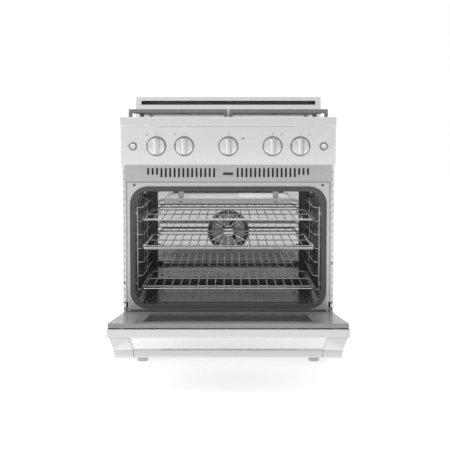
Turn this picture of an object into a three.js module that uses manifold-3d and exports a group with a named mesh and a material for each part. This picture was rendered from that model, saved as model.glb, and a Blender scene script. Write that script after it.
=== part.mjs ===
// Freestanding gas range with its oven door open.
// Millimetres, +Z up, X across, the cook stands on the -Y side.
// Design frame: y = 0 is the front of the control panel and z = 0 is the floor.

import * as THREE from 'three';
import { mergeVertices } from 'three/addons/utils/BufferGeometryUtils.js';
import Module from 'manifold-3d';

const wasm = await Module();
wasm.setup();

// Body
const bodyWidth = 757;
const bodyDepth = 632;
const cooktopHeight = 886;
const sheet = 1.5;
const gap = 0.3;
const halfWidth = bodyWidth / 2;
const insideX = halfWidth - sheet - gap;

// Front, from the floor up
const legHeight = 45;
const kickHeight = 126;
const revealGap = 3;
const baseLip = 15;
const ventHeight = 63;
const panelHeight = 134;
const ledgeHeight = 34;
const ledgeBottom = cooktopHeight - ledgeHeight;
const panelBottom = ledgeBottom - panelHeight;
const ventBottom = panelBottom - ventHeight;
const kickTop = legHeight + kickHeight;
const doorBottom = kickTop + revealGap;
const doorTop = ventBottom - revealGap;
const bodyTop = ledgeBottom - gap;
const backInner = bodyDepth - sheet - gap;

// Legs
const legRadius = 20;
const legInsetX = 66.5;
const legInsetY = 80;
const legFootHeight = 24;
const legFootEdge = 3;
const legNeck = 17;

// Oven front
const frontSetback = 42;
const trimFront = frontSetback - sheet - gap;
const frameInset = 17.5;
const flangeWidth = 10.5;
const flangeSlotPitch = 23.4;
const flangeSlotHeight = 12;
const flangeSlotWidth = 4;

// Oven cavity
const wallToCavity = 43.5;
const floorAboveDoor = 31;
const ceilingBelowVent = 12;
const cavityCorner = 30;
const cavityToBack = 40;
const cavityX = halfWidth - wallToCavity;
const cavityFloor = doorBottom + floorAboveDoor;
const cavityCeiling = ventBottom - ceilingBelowVent;
const cavityBack = bodyDepth - cavityToBack;

// Oven mouth and door gasket
const mouthLipBottom = 8;
const mouthLipTop = 21;
const gasketOverhang = 1.6;
const gasketWidth = 18;
const gasketCorner = 64;
const mouthX = cavityX + 1;
const mouthBottom = cavityFloor + mouthLipBottom;
const mouthTop = cavityCeiling - mouthLipTop;
const mouthCorner = gasketCorner - gasketWidth + gasketOverhang;

// Door
const doorThickness = 44;
const skinDepth = 26;
const linerDepth = 14.5;
const linerInset = 3.5;
const doorToFrame = 6;
const doorOpenAngle = 83.3;
const hingeAboveDoor = 8.3;
const hingeFromLiner = 5;
const windowEdge = 15;
const outerWindowX = 225;
const outerWindowFoot = 110;
const outerWindowHead = 120;
const innerWindowSide = 92;
const innerWindowFoot = 56;
const innerWindowHead = 62;
const outerGlass = 4;
const innerGlass = 4;
const linerFace = frontSetback - doorToFrame;
const hingeY = linerFace - hingeFromLiner;
const hingeZ = doorBottom + hingeAboveDoor;
const skinFace = hingeFromLiner - doorThickness;
const doorFoot = -hingeAboveDoor;
const doorHead = doorTop - hingeZ;

// Door hinge
const hingePin = 3;
const hingeRunning = 0.5;
const hingeEar = 7;
const hingePlate = 3;
const hingeNotch = 12;
const hingeShelf = 4;
const hingeBoss = 19;
const hingePinRoom = 3;
const hingeReach = 34;
const hingeLift = 19;

// Door handle
const handleStandoff = 63;
const handleHeight = 36;
const barFar = 61;
const barNear = 37;
const postFootOuter = 6.5;
const postFootInner = 71;
const postWaistOuter = 22;
const postWaistInner = 83;
const postTipOuter = 26;
const postTipInner = 87.5;

// Racks and their side ladders
const rackWire = 5;
const rackSideGap = 17;
const rackBearing = 10;
const rackFrontRoom = 30;
const rackBackRoom = 62;
const rackRodPitch = 32.2;
const rackRod = 4;
const rackMidRail = 238;
const rackStopHeight = 12;
const rackStopInset = 36;
const rungAboveFloor = 60;
const rungPitch = 50;
const rungHeadroom = 74;
const ladderWall = 1.5;
const ladderPost = 6;
const ladderEnd = 12;
const deckDrop = 5;

// Convection fan
const baffleSetback = 38.5;
const baffleSide = 45;
const baffleFoot = 18;
const baffleCorner = 12;
const fanRadius = 74;
const fanOpening = 83;
const fanGuardBar = 5;
const fanGuardCount = 12;
const fanHub = 14;
const fanGuardHub = 22;
const fanBladeCount = 8;
const fanBladeDepth = 18;
const fanDiscRim = 6;
const fanFromBack = 6;
const shaftRadius = 4;
const shaftRunning = 1;
const shaftOpening = 7;
const shaftReach = 12;
const motorRadius = 40;
const motorLength = 30;
const motorFromBack = 4;
const motorBore = 14;

// Oven burners
const broilSide = 100;
const broilFront = 78;
const broilLength = 300;
const broilBelowCeiling = 73;
const broilDepth = 30;
const broilHanger = 174;
const hangerWidth = 20;
const hangerDepth = 10;
const hangerFromFront = 20;
const bakeRadius = 9;
const bakeSpread = 130;
const bakeBelowFloor = 22;

// Controls
const knobRadius = 30;
const knobDepth = 29;
const knobBase = 9;
const knobBack = 5;
const knobFromPanelTop = 69;
const knobOuterInset = 124.5;
const knobSpacing = 98;
const gripFoot = 29;
const gripFace = 21;
const gripHeight = 56;
const stemRadius = 3;
const stemBore = 3.5;
const stemHole = 6;
const stemInKnob = 17;
const buttonRadius = 10;
const buttonRunning = 0.6;
const buttonProud = 6;
const buttonLength = 20;
const buttonInset = 42;
const lensRadius = 4;
const lensFromCentre = 52;
const lensAboveKnobs = 26;
const lensProud = 2;
const lensLength = 8;
const manifoldRadius = 10;
const manifoldBehind = 46;
const valveWidth = 26;
const valveHeight = 30;
const valveFront = 22;
const valveBoreEnd = 5;
const stemEndRoom = 5;

// Vent trim
const ventSide = 8.5;
const ventSlotPitch = 15.7;
const ventSlotWidth = 7;
const ventSlotHeight = 34;
const ventSlotShort = 25;
const ventSlotTop = 13;
const ventOuterInset = 91;
const ventLeftStart = 50.7;
const ventRightStart = 33.4;
const ventShortCount = 3;

// Cooktop
const ledgeFront = 20;
const ledgeRadius = 3;
const ledgeBack = 60;
const ledgeReturn = 20;
const rimWidth = 16.5;
const tubDepth = 20;
const guardDepth = 66;
const guardHeight = 87;
const guardSlotSide = 22;
const guardSlotTop = 16;
const guardSlotHeight = 16;
const guardFront = bodyDepth - guardDepth;
const tubFloor = cooktopHeight - tubDepth;

// Grates and surface burners
const grateSide = 18.5;
const grateMiddle = 3.5;
const grateFront = 33;
const grateBack = 26;
const grateTop = 29;
const grateBar = 12;
const grateThick = 13;
const fingerThick = 10;
const fingerDeep = 12;
const fingerClear = 34;
const burnerRadii = { front: 48, back: 40 };
const burnerFlange = 6;
const headFlange = 3;
const headSlope = 6;
const headHeight = 12;
const capHeight = 7;
const capOverhang = 3;
const capDome = 4;
const throatRadius = 16;
const throatRoom = 2;
const throatDepth = 12;

const brushedSteel = { color: 0xc9cacb, roughness: 0.34, metalness: 1.0 };
const plainSteel = { color: 0xa4a5a6, roughness: 0.5, metalness: 1.0 };
const chrome = { color: 0xdcdddf, roughness: 0.12, metalness: 1.0 };
const darkEnamel = { color: 0x2b2c2e, roughness: 0.22, metalness: 0.0 };
const greyEnamel = { color: 0x7b7c7e, roughness: 0.3, metalness: 0.0 };
const castIron = { color: 0x3a3b3c, roughness: 0.75, metalness: 0.1 };
const rubber = { color: 0x3d3e3f, roughness: 0.85, metalness: 0.0 };
const glass = { color: 0x222426, roughness: 0.06, metalness: 0.0 };

const range = new THREE.Group();
const body = new THREE.Group();
range.add(body);

// ---- geometry helpers

// The geometry with only its positions left and its shared corners joined.
function welded(geometry) {
  const bare = geometry.clone();
  bare.deleteAttribute('normal');
  bare.deleteAttribute('uv');
  return mergeVertices(bare, 1e-4);
}

function toSolid(geometry) {
  const merged = welded(geometry);
  const corners = merged.index.array;
  const kept = [];
  for (let i = 0; i < corners.length; i += 3) {
    const [a, b, c] = [corners[i], corners[i + 1], corners[i + 2]];
    if (a !== b && b !== c && c !== a) kept.push(a, b, c);
  }
  return new wasm.Manifold(new wasm.Mesh({
    numProp: 3,
    vertProperties: merged.attributes.position.array,
    triVerts: new Uint32Array(kept),
  }));
}

function toGeometry(solid) {
  const mesh = solid.getMesh();
  const geometry = new THREE.BufferGeometry();
  geometry.setAttribute('position', new THREE.BufferAttribute(mesh.vertProperties, 3));
  geometry.setIndex(new THREE.BufferAttribute(mesh.triVerts, 1));
  return geometry;
}

function joined(pieces) {
  const solid = pieces.map(toSolid).reduce((whole, piece) => whole.add(piece));
  return toGeometry(solid);
}

function cut(geometry, tools) {
  const solid = tools.map(toSolid).reduce((rest, tool) => rest.subtract(tool), toSolid(geometry));
  return toGeometry(solid);
}

function block(x0, x1, y0, y1, z0, z1) {
  const box = new THREE.BoxGeometry(x1 - x0, y1 - y0, z1 - z0);
  return box.translate((x0 + x1) / 2, (y0 + y1) / 2, (z0 + z1) / 2);
}

function rodX(radius, x0, x1, y, z, sides = 16) {
  const rod = new THREE.CylinderGeometry(radius, radius, x1 - x0, sides);
  return rod.rotateZ(Math.PI / 2).translate((x0 + x1) / 2, y, z);
}

function rodY(radius, x, y0, y1, z, sides = 16) {
  const rod = new THREE.CylinderGeometry(radius, radius, y1 - y0, sides);
  return rod.translate(x, (y0 + y1) / 2, z);
}

function rodZ(radius, x, y, z0, z1, sides = 24) {
  const rod = new THREE.CylinderGeometry(radius, radius, z1 - z0, sides);
  return rod.rotateX(Math.PI / 2).translate(x, y, (z0 + z1) / 2);
}

function roundedRect(outline, x0, x1, y0, y1, radius) {
  outline.moveTo(x1, y0 + radius);
  outline.absarc(x1 - radius, y1 - radius, radius, 0, Math.PI / 2, false);
  outline.absarc(x0 + radius, y1 - radius, radius, Math.PI / 2, Math.PI, false);
  outline.absarc(x0 + radius, y0 + radius, radius, Math.PI, Math.PI * 1.5, false);
  outline.absarc(x1 - radius, y0 + radius, radius, Math.PI * 1.5, Math.PI * 2, false);
  return outline;
}

function rectangle(outline, x0, x1, y0, y1) {
  outline.moveTo(x0, y0);
  outline.lineTo(x1, y0);
  outline.lineTo(x1, y1);
  outline.lineTo(x0, y1);
  return outline;
}

function polygon(points) {
  return new THREE.Shape(points.map(([x, y]) => new THREE.Vector2(x, y)));
}

function extrude(shape, depth, curveSegments = 6) {
  return new THREE.ExtrudeGeometry(shape, { depth, curveSegments, bevelEnabled: false });
}

// An outline drawn in (x, z), standing between y0 and y1.
function upright(shape, y0, y1, curveSegments) {
  return extrude(shape, y1 - y0, curveSegments).rotateX(Math.PI / 2).translate(0, y1, 0);
}

// An outline drawn in (x, y), lying between z0 and z1.
function lying(shape, z0, z1, curveSegments) {
  return extrude(shape, z1 - z0, curveSegments).translate(0, 0, z0);
}

// An outline drawn in (y, z), running from x0 to x1.
function lengthwise(shape, x0, x1, curveSegments) {
  const turn = new THREE.Matrix4().makeBasis(
    new THREE.Vector3(0, 1, 0),
    new THREE.Vector3(0, 0, 1),
    new THREE.Vector3(1, 0, 0),
  );
  return extrude(shape, x1 - x0, curveSegments).applyMatrix4(turn).translate(x0, 0, 0);
}

// A profile of [radius, height] pairs spun about a vertical axis through (x, y).
function turned(profile, x, y, sides = 16) {
  const points = profile.map(([radius, height]) => new THREE.Vector2(radius, height));
  return new THREE.LatheGeometry(points, sides).rotateX(Math.PI / 2).translate(x, y, 0);
}

function mirrorX(geometry) {
  const flipped = welded(geometry.clone().scale(-1, 1, 1));
  const corners = flipped.index.array;
  for (let i = 0; i < corners.length; i += 3) {
    [corners[i], corners[i + 1]] = [corners[i + 1], corners[i]];
  }
  return flipped;
}

function add(parent, name, geometry, look) {
  geometry.computeVertexNormals();
  const mesh = new THREE.Mesh(geometry, new THREE.MeshStandardMaterial(look));
  mesh.name = name;
  parent.add(mesh);
}

function addPair(parent, name, geometry, look) {
  add(parent, `${name}_left`, mirrorX(geometry), look);
  add(parent, `${name}_right`, geometry, look);
}

// ---- cabinet

function sidePanel() {
  const flangeTop = panelBottom - gap;
  const wall = block(halfWidth - sheet, halfWidth, frontSetback, bodyDepth, legHeight, bodyTop);
  const flange = block(
    halfWidth - flangeWidth, halfWidth, frontSetback, frontSetback + sheet, legHeight, flangeTop,
  );
  const slotX = halfWidth - sheet - (flangeWidth - sheet) / 2;
  const slots = [];
  for (let z = doorBottom + flangeSlotPitch; z < flangeTop - flangeSlotHeight; z += flangeSlotPitch) {
    slots.push(block(
      slotX - flangeSlotWidth / 2, slotX + flangeSlotWidth / 2,
      frontSetback - 1, frontSetback + sheet + 1,
      z - flangeSlotHeight / 2, z + flangeSlotHeight / 2,
    ));
  }
  return cut(joined([wall, flange]), slots);
}

function basePan() {
  const front = frontSetback + sheet + gap;
  const lip = baseLip;
  const tray = block(-insideX, insideX, front, backInner, legHeight, legHeight + lip);
  const hollow = block(
    sheet - insideX, insideX - sheet, front + sheet, backInner - sheet,
    legHeight + sheet, legHeight + lip + 1,
  );
  return cut(tray, [hollow]);
}

function leg(x, y) {
  const top = legHeight - gap;
  const edge = legFootEdge;
  return turned([
    [0, 0], [legRadius - edge, 0], [legRadius - edge / 3, edge / 3], [legRadius, edge],
    [legRadius, legFootHeight], [legNeck, legFootHeight + edge], [legNeck, top], [0, top],
  ], x, y);
}

function addCabinet() {
  addPair(body, 'side_panel', sidePanel(), brushedSteel);
  const backSheet = block(-insideX, insideX, bodyDepth - sheet, bodyDepth, legHeight, bodyTop);
  add(body, 'back_panel', backSheet, plainSteel);
  add(body, 'base_pan', basePan(), plainSteel);
  const kick = block(-halfWidth, halfWidth, trimFront, trimFront + sheet, legHeight, kickTop);
  add(body, 'kick_panel', kick, brushedSteel);
  const legX = halfWidth - legInsetX;
  const legY = { front: legInsetY, back: bodyDepth - legInsetY };
  for (const [side, x] of [['left', -legX], ['right', legX]]) {
    for (const [end, y] of Object.entries(legY)) add(body, `leg_${end}_${side}`, leg(x, y), brushedSteel);
  }
}

// ---- oven

function ovenFrontFrame() {
  const frameX = halfWidth - frameInset;
  const outline = rectangle(new THREE.Shape(), -frameX, frameX, doorBottom, ventBottom - gap);
  outline.holes.push(roundedRect(new THREE.Path(), -mouthX, mouthX, mouthBottom, mouthTop, mouthCorner));
  return upright(outline, frontSetback, frontSetback + sheet);
}

function ovenGasket() {
  const inner = mouthX - gasketOverhang;
  const low = mouthBottom + gasketOverhang;
  const high = mouthTop - gasketOverhang;
  const outline = roundedRect(
    new THREE.Shape(), -inner - gasketWidth, inner + gasketWidth, low - gasketWidth, high + gasketWidth,
    gasketCorner,
  );
  outline.holes.push(roundedRect(new THREE.Path(), -inner, inner, low, high, gasketCorner - gasketWidth));
  return upright(outline, linerFace + gap, frontSetback - gap, 8);
}

function ovenCavity() {
  const front = frontSetback + sheet + gap;
  const tube = roundedRect(
    new THREE.Shape(), -cavityX - sheet, cavityX + sheet, cavityFloor - sheet, cavityCeiling + sheet,
    cavityCorner + sheet,
  );
  tube.holes.push(roundedRect(
    new THREE.Path(), -cavityX, cavityX, cavityFloor, cavityCeiling, cavityCorner,
  ));
  const rear = roundedRect(
    new THREE.Shape(), -cavityX - sheet, cavityX + sheet, cavityFloor - sheet, cavityCeiling + sheet,
    cavityCorner + sheet,
  );
  const walls = upright(tube, front, cavityBack);
  const back = upright(rear, cavityBack - sheet, cavityBack);
  const shaftHole = rodY(shaftOpening, 0, cavityBack - sheet - 1, cavityBack + 1, fanHeight());
  return cut(joined([walls, back]), [shaftHole]);
}

function fanHeight() {
  return (cavityFloor + cavityCeiling) / 2 - 1;
}

function fanBaffle() {
  const x = cavityX - baffleSide;
  const low = cavityFloor + baffleFoot;
  const high = cavityCeiling - baffleFoot;
  const rear = cavityBack - sheet - gap;
  const front = rear - baffleSetback + gap;
  const face = roundedRect(new THREE.Shape(), -x, x, low, high, baffleCorner);
  const hole = new THREE.Path();
  hole.absarc(0, fanHeight(), fanOpening, 0, Math.PI * 2, false);
  face.holes.push(hole);
  const sides = [-x, x - sheet].map((edge) => (
    block(edge, edge + sheet, front, rear, low + baffleCorner, high - baffleCorner)
  ));
  const guard = fanGuard(front);
  return joined([upright(face, front, front + sheet, 8), ...sides, ...guard]);
}

function fanGuard(front) {
  const ring = new THREE.Shape();
  ring.absarc(0, fanHeight(), fanGuardHub, 0, Math.PI * 2, false);
  const bars = [];
  for (let i = 0; i < fanGuardCount; i += 1) {
    const bar = block(fanHub, fanOpening + 2, front, front + sheet, -fanGuardBar / 2, fanGuardBar / 2);
    bars.push(bar.rotateY((i * Math.PI * 2) / fanGuardCount).translate(0, 0, fanHeight()));
  }
  return [upright(ring, front, front + sheet), ...bars];
}

function fanBlade() {
  const discBack = cavityBack - sheet - fanFromBack;
  const bladeFront = discBack - sheet - fanBladeDepth;
  const z = fanHeight();
  const pieces = [
    rodY(fanRadius - fanDiscRim, 0, discBack - sheet, discBack, z, 24),
    rodY(fanHub, 0, bladeFront, discBack, z, 16),
    rodY(shaftRadius, 0, discBack - sheet, cavityBack + shaftReach, z, 12),
  ];
  for (let i = 0; i < fanBladeCount; i += 1) {
    const blade = block(fanHub - 2, fanRadius, bladeFront, discBack - sheet / 2, -sheet / 2, sheet / 2);
    pieces.push(blade.rotateY(((i + 0.5) * Math.PI * 2) / fanBladeCount).translate(0, 0, z));
  }
  return joined(pieces);
}

function fanMotor() {
  const front = cavityBack + motorFromBack;
  const motor = rodY(motorRadius, 0, front, front + motorLength, fanHeight(), 24);
  const bore = rodY(shaftRadius + shaftRunning, 0, front - 1, front + motorBore, fanHeight(), 12);
  return cut(motor, [bore]);
}

function broilBurner() {
  const x = cavityX - broilSide;
  const front = frontSetback + broilFront;
  const low = cavityCeiling - broilBelowCeiling;
  const high = low + broilDepth;
  const tray = block(-x, x, front, front + broilLength, low, high);
  const hollow = block(
    sheet - x, x - sheet, front + sheet, front + broilLength - sheet, low - 1, high - sheet,
  );
  const hangers = [-broilHanger, broilHanger].map((at) => (
    block(
      at - hangerWidth / 2, at + hangerWidth / 2,
      front + hangerFromFront, front + hangerFromFront + hangerDepth, high - sheet / 2, cavityCeiling - gap,
    )
  ));
  return joined([cut(tray, [hollow]), ...hangers]);
}

function bakeBurner() {
  const z = cavityFloor - sheet - bakeBelowFloor;
  const front = frontSetback + broilFront;
  const back = cavityBack - broilFront;
  return joined([
    rodY(bakeRadius, -bakeSpread, front, back, z, 12),
    rodY(bakeRadius, bakeSpread, front, back, z, 12),
    rodX(bakeRadius, -bakeSpread, bakeSpread, back - bakeRadius, z, 12),
  ]);
}

function rungHeights() {
  const heights = [];
  const lowest = cavityFloor + rungAboveFloor;
  for (let z = lowest; z <= cavityCeiling - rungHeadroom; z += rungPitch) heights.push(z);
  return heights;
}

function rackLevels() {
  const heights = rungHeights();
  const last = heights.length - 1;
  return { lower: heights[0], middle: heights[Math.floor(last / 2)], upper: heights[last - 1] };
}

const rackX = cavityX - rackSideGap;
const rackFront = frontSetback + rackFrontRoom;
const rackBack = cavityBack - baffleSetback - rackBackRoom;

// One side ladder: two posts on the cavity wall and a wire loop under each rack position.
function rackLadder() {
  const wall = cavityX - ladderWall;
  const inner = rackX - rackBearing;
  const front = rackFront + ladderEnd;
  const back = rackBack + ladderEnd + ladderPost;
  const heights = rungHeights();
  const loop = rectangle(new THREE.Shape(), inner, wall, front, back);
  loop.holes.push(rectangle(
    new THREE.Path(), inner + rackWire, wall - ladderPost, front + ladderPost, back - ladderPost,
  ));
  const pieces = heights.map((z) => lying(loop, z - rackWire * 1.5 - gap, z - rackWire * 0.5 - gap));
  const low = heights[0] - rackWire * 1.5 - gap;
  const high = heights[heights.length - 1] - rackWire * 0.5 - gap;
  for (const y of [front, back - ladderPost]) {
    pieces.push(block(wall - ladderPost, wall, y, y + ladderPost, low, high));
  }
  return joined(pieces);
}

// Wire deck with its windows cut out between rails and rods, and a raised stop bar at its back.
function rack(z, drop) {
  const half = rackWire / 2;
  const rodReach = Math.floor((rackX - rackWire) / rackRodPitch + 0.5);
  const rods = [rackWire - rackX - rackRod / 2];
  for (let i = -rodReach; i < rodReach; i += 1) rods.push((i + 0.5) * rackRodPitch);
  rods.push(rackX - rackWire + rackRod / 2);
  const rails = [rackFront, rackFront + rackMidRail, rackBack - rackWire];
  const windows = [];
  for (let row = 0; row + 1 < rails.length; row += 1) {
    for (let i = 0; i + 1 < rods.length; i += 1) {
      windows.push(block(
        rods[i] + rackRod / 2, rods[i + 1] - rackRod / 2,
        rails[row] + rackWire, rails[row + 1], z - half - 1, z + half + 1,
      ));
    }
  }
  const deck = cut(block(-rackX, rackX, rackFront, rackBack, z - half, z + half), windows);
  const stopX = rackX - rackStopInset;
  const stopTop = z + half + rackStopHeight;
  const pieces = [
    deck,
    block(-stopX, stopX, rackBack - rackWire, rackBack, stopTop - rackWire, stopTop),
  ];
  for (const x of [-stopX, stopX - rackWire]) {
    pieces.push(block(x, x + rackWire, rackBack - rackWire, rackBack, z, stopTop));
  }
  if (drop) pieces.push(block(-rackX, rackX, rackFront, rackFront + rackWire, z - half - drop, z));
  return joined(pieces);
}

function addOven() {
  add(body, 'oven_front_frame', ovenFrontFrame(), brushedSteel);
  add(body, 'cavity_gasket', ovenGasket(), rubber);
  add(body, 'oven_cavity', ovenCavity(), darkEnamel);
  add(body, 'fan_baffle', fanBaffle(), chrome);
  add(body, 'fan_blade', fanBlade(), plainSteel);
  add(body, 'fan_motor', fanMotor(), plainSteel);
  add(body, 'broil_burner', broilBurner(), plainSteel);
  add(body, 'bake_burner', bakeBurner(), plainSteel);
  addPair(body, 'rack_ladder', rackLadder(), chrome);
  const levels = rackLevels();
  add(body, 'rack_lower', rack(levels.lower, 0), chrome);
  add(body, 'rack_middle', rack(levels.middle, deckDrop), chrome);
  add(body, 'rack_upper', rack(levels.upper, 0), chrome);
}

// ---- front panels and controls

function ventTrim() {
  const x = halfWidth - ventSide;
  const plate = block(-x, x, trimFront, trimFront + sheet, ventBottom, panelBottom - gap);
  const half = ventSlotWidth / 2;
  const slots = [];
  const limit = halfWidth - ventOuterInset;
  const top = panelBottom - ventSlotTop;
  for (const [side, start] of [[-1, ventLeftStart], [1, ventRightStart]]) {
    const count = Math.floor((limit - start) / ventSlotPitch) + 1;
    for (let i = 0; i < count; i += 1) {
      const at = side * (start + i * ventSlotPitch);
      const height = i >= count - ventShortCount ? ventSlotShort : ventSlotHeight;
      slots.push(block(at - half, at + half, trimFront - 1, trimFront + sheet + 1, top - height, top));
    }
  }
  return cut(plate, slots);
}

const knobZ = ledgeBottom - knobFromPanelTop;
const outerKnobX = halfWidth - knobOuterInset;
const knobPlaces = {
  left_front: -outerKnobX,
  left_rear: knobSpacing - outerKnobX,
  oven: 0,
  right_rear: outerKnobX - knobSpacing,
  right_front: outerKnobX,
};
const buttonX = halfWidth - buttonInset;

function controlPanel() {
  const back = frontSetback - gap;
  const shell = block(-halfWidth, halfWidth, 0, back, panelBottom, bodyTop);
  const hollow = block(
    sheet - halfWidth, halfWidth - sheet, sheet, back + 1, panelBottom + sheet, bodyTop - sheet,
  );
  const holes = Object.values(knobPlaces).map((x) => rodY(stemHole, x, -1, sheet + 1, knobZ));
  for (const x of [-buttonX, buttonX]) {
    holes.push(rodY(buttonRadius + buttonRunning, x, -1, sheet + 1, knobZ, 24));
  }
  holes.push(rodY(lensRadius + gap, lensFromCentre, -1, sheet + 1, knobZ + lensAboveKnobs));
  return cut(shell, [hollow, ...holes]);
}

function gasManifold() {
  const reach = outerKnobX + valveWidth;
  const pipe = rodX(manifoldRadius, -reach, reach, manifoldBehind, knobZ, 12);
  const valves = Object.values(knobPlaces).map((x) => block(
    x - valveWidth / 2, x + valveWidth / 2, valveFront, manifoldBehind,
    knobZ - valveHeight / 2, knobZ + valveHeight / 2,
  ));
  const bores = Object.values(knobPlaces).map((x) => (
    rodY(stemBore, x, valveFront - 1, manifoldBehind - valveBoreEnd, knobZ, 12)
  ));
  return cut(joined([pipe, ...valves]), bores);
}

function valveStem(x) {
  const front = stemInKnob + knobBack;
  return rodY(stemRadius, x, -front, manifoldBehind - valveBoreEnd - stemEndRoom, knobZ, 12);
}

function knob(x) {
  const back = -knobBack;
  const face = back - knobDepth;
  const base = back - knobBase;
  const disc = rodY(knobRadius, x, base, back, knobZ, 32);
  const grip = lying(polygon([
    [x - gripFoot / 2, base + 1], [x + gripFoot / 2, base + 1],
    [x + gripFace / 2, face], [x - gripFace / 2, face],
  ]), knobZ - gripHeight / 2, knobZ + gripHeight / 2);
  const bore = rodY(stemBore, x, back - stemInKnob - 1, back + 1, knobZ, 12);
  return cut(joined([disc, grip]), [bore]);
}

function pushButton(x) {
  return rodY(buttonRadius, x, -buttonProud, buttonLength - buttonProud, knobZ, 24);
}

function addControls() {
  add(body, 'vent_trim', ventTrim(), brushedSteel);
  add(body, 'control_panel', controlPanel(), brushedSteel);
  add(body, 'gas_manifold', gasManifold(), plainSteel);
  for (const [place, x] of Object.entries(knobPlaces)) {
    add(body, `valve_stem_${place}`, valveStem(x), plainSteel);
    add(body, `knob_${place}`, knob(x), brushedSteel);
  }
  add(body, 'light_button', pushButton(-buttonX), brushedSteel);
  add(body, 'fan_button', pushButton(buttonX), brushedSteel);
  const lens = rodY(lensRadius, lensFromCentre, -lensProud, lensLength - lensProud, knobZ + lensAboveKnobs);
  add(body, 'indicator_lens', lens, glass);
}

// ---- cooktop

function frontLedge() {
  const top = cooktopHeight;
  const low = ledgeBottom;
  const front = -ledgeFront;
  const r = ledgeRadius;
  const outer = new THREE.Shape();
  outer.moveTo(ledgeBack, top);
  outer.absarc(front + r, top - r, r, Math.PI / 2, Math.PI, false);
  outer.absarc(front + r, low + r, r, Math.PI, Math.PI * 1.5, false);
  outer.lineTo(ledgeReturn, low);
  outer.lineTo(ledgeReturn, low + sheet);
  outer.absarc(front + r, low + r, r - sheet, Math.PI * 1.5, Math.PI, true);
  outer.absarc(front + r, top - r, r - sheet, Math.PI, Math.PI / 2, true);
  outer.lineTo(ledgeBack, top - sheet);
  const end = new THREE.Shape();
  end.moveTo(ledgeBack, top);
  end.absarc(front + r, top - r, r, Math.PI / 2, Math.PI, false);
  end.absarc(front + r, low + r, r, Math.PI, Math.PI * 1.5, false);
  end.lineTo(ledgeBack, low);
  return joined([
    lengthwise(outer, -halfWidth, halfWidth),
    lengthwise(end, -halfWidth, sheet - halfWidth),
    lengthwise(end, halfWidth - sheet, halfWidth),
  ]);
}

function burnerPlaces() {
  const middleX = (grateMiddle + halfWidth - grateSide) / 2;
  const front = ledgeBack + grateFront;
  const back = guardFront - grateBack;
  const quarter = (back - front) / 4;
  return [
    { name: 'front_left', x: -middleX, y: front + quarter, radius: burnerRadii.front },
    { name: 'front_right', x: middleX, y: front + quarter, radius: burnerRadii.front },
    { name: 'back_left', x: -middleX, y: back - quarter, radius: burnerRadii.back },
    { name: 'back_right', x: middleX, y: back - quarter, radius: burnerRadii.back },
  ];
}

function cooktopPan() {
  const front = ledgeBack + gap;
  const back = guardFront - gap;
  const low = ledgeBottom;
  const shell = block(-halfWidth, halfWidth, front, back, low, cooktopHeight);
  const under = block(
    sheet - halfWidth, halfWidth - sheet, front + sheet, back - sheet, low - 1, cooktopHeight - sheet,
  );
  const tubX = halfWidth - rimWidth;
  const tubFront = front + rimWidth;
  const tubBack = back - rimWidth;
  const well = block(
    sheet - tubX, tubX - sheet, tubFront + sheet, tubBack - sheet, tubFloor, cooktopHeight + 1,
  );
  const tub = block(-tubX, tubX, tubFront, tubBack, tubFloor - sheet, cooktopHeight);
  const holes = burnerPlaces().map(({ x, y }) => (
    rodZ(throatRadius + throatRoom, x, y, tubFloor - sheet - 1, tubFloor + 1)
  ));
  return cut(joined([cut(shell, [under]), tub]), [well, ...holes]);
}

function burnerHead({ x, y, radius }) {
  const foot = tubFloor + gap;
  const top = foot + headHeight;
  return turned([
    [0, foot - throatDepth], [throatRadius, foot - throatDepth], [throatRadius, foot],
    [radius + burnerFlange, foot], [radius + burnerFlange, foot + headFlange], [radius, foot + headSlope],
    [radius, top], [0, top],
  ], x, y);
}

function burnerCap({ x, y, radius }) {
  const foot = tubFloor + headHeight + gap * 2;
  const top = foot + capHeight;
  return turned([
    [0, foot], [radius + capOverhang - 1, foot], [radius + capOverhang, foot + 1.5],
    [radius + 1, top - 1], [radius - capDome, top], [0, top],
  ], x, y);
}

// One grate: a square-bar frame over two burners, fingers pointing at each burner, and four feet.
function grate() {
  const x0 = grateMiddle;
  const x1 = halfWidth - grateSide;
  const y0 = ledgeBack + grateFront;
  const y1 = guardFront - grateBack;
  const top = cooktopHeight + grateTop;
  const low = top - grateThick;
  const middleX = (x0 + x1) / 2;
  const middleY = (y0 + y1) / 2;
  const bar = grateBar;
  const pieces = [
    block(x0, x1, y0, y0 + bar, low, top),
    block(x0, x1, y1 - bar, y1, low, top),
    block(x0, x0 + bar, y0, y1, low, top),
    block(x1 - bar, x1, y0, y1, low, top),
    block(x0, x1, middleY - bar / 2, middleY + bar / 2, low, top),
  ];
  for (const x of [x0, x1 - bar]) {
    for (const y of [y0, y1 - bar]) {
      pieces.push(block(x, x + bar, y, y + bar, tubFloor + gap, low + 1));
    }
  }
  const half = fingerThick / 2;
  const fingerLow = top - fingerDeep;
  for (const [start, end] of [[y0, middleY], [middleY, y1]]) {
    const centre = (start + end) / 2;
    pieces.push(block(x0 + 1, middleX - fingerClear, centre - half, centre + half, fingerLow, top));
    pieces.push(block(middleX + fingerClear, x1 - 1, centre - half, centre + half, fingerLow, top));
    pieces.push(block(middleX - half, middleX + half, start + 1, centre - fingerClear, fingerLow, top));
    pieces.push(block(middleX - half, middleX + half, centre + fingerClear, end - 1, fingerLow, top));
  }
  return joined(pieces);
}

function backguard() {
  const top = cooktopHeight + guardHeight;
  const shell = block(-halfWidth, halfWidth, guardFront, bodyDepth, ledgeBottom, top);
  const hollow = block(
    sheet - halfWidth, halfWidth - sheet, guardFront + sheet, bodyDepth - sheet,
    ledgeBottom - 1, top - sheet,
  );
  const slotX = halfWidth - guardSlotSide;
  const slotTop = top - guardSlotTop;
  const slot = block(
    -slotX, slotX, guardFront - 1, guardFront + sheet + 1, slotTop - guardSlotHeight, slotTop,
  );
  return cut(shell, [hollow, slot]);
}

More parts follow.
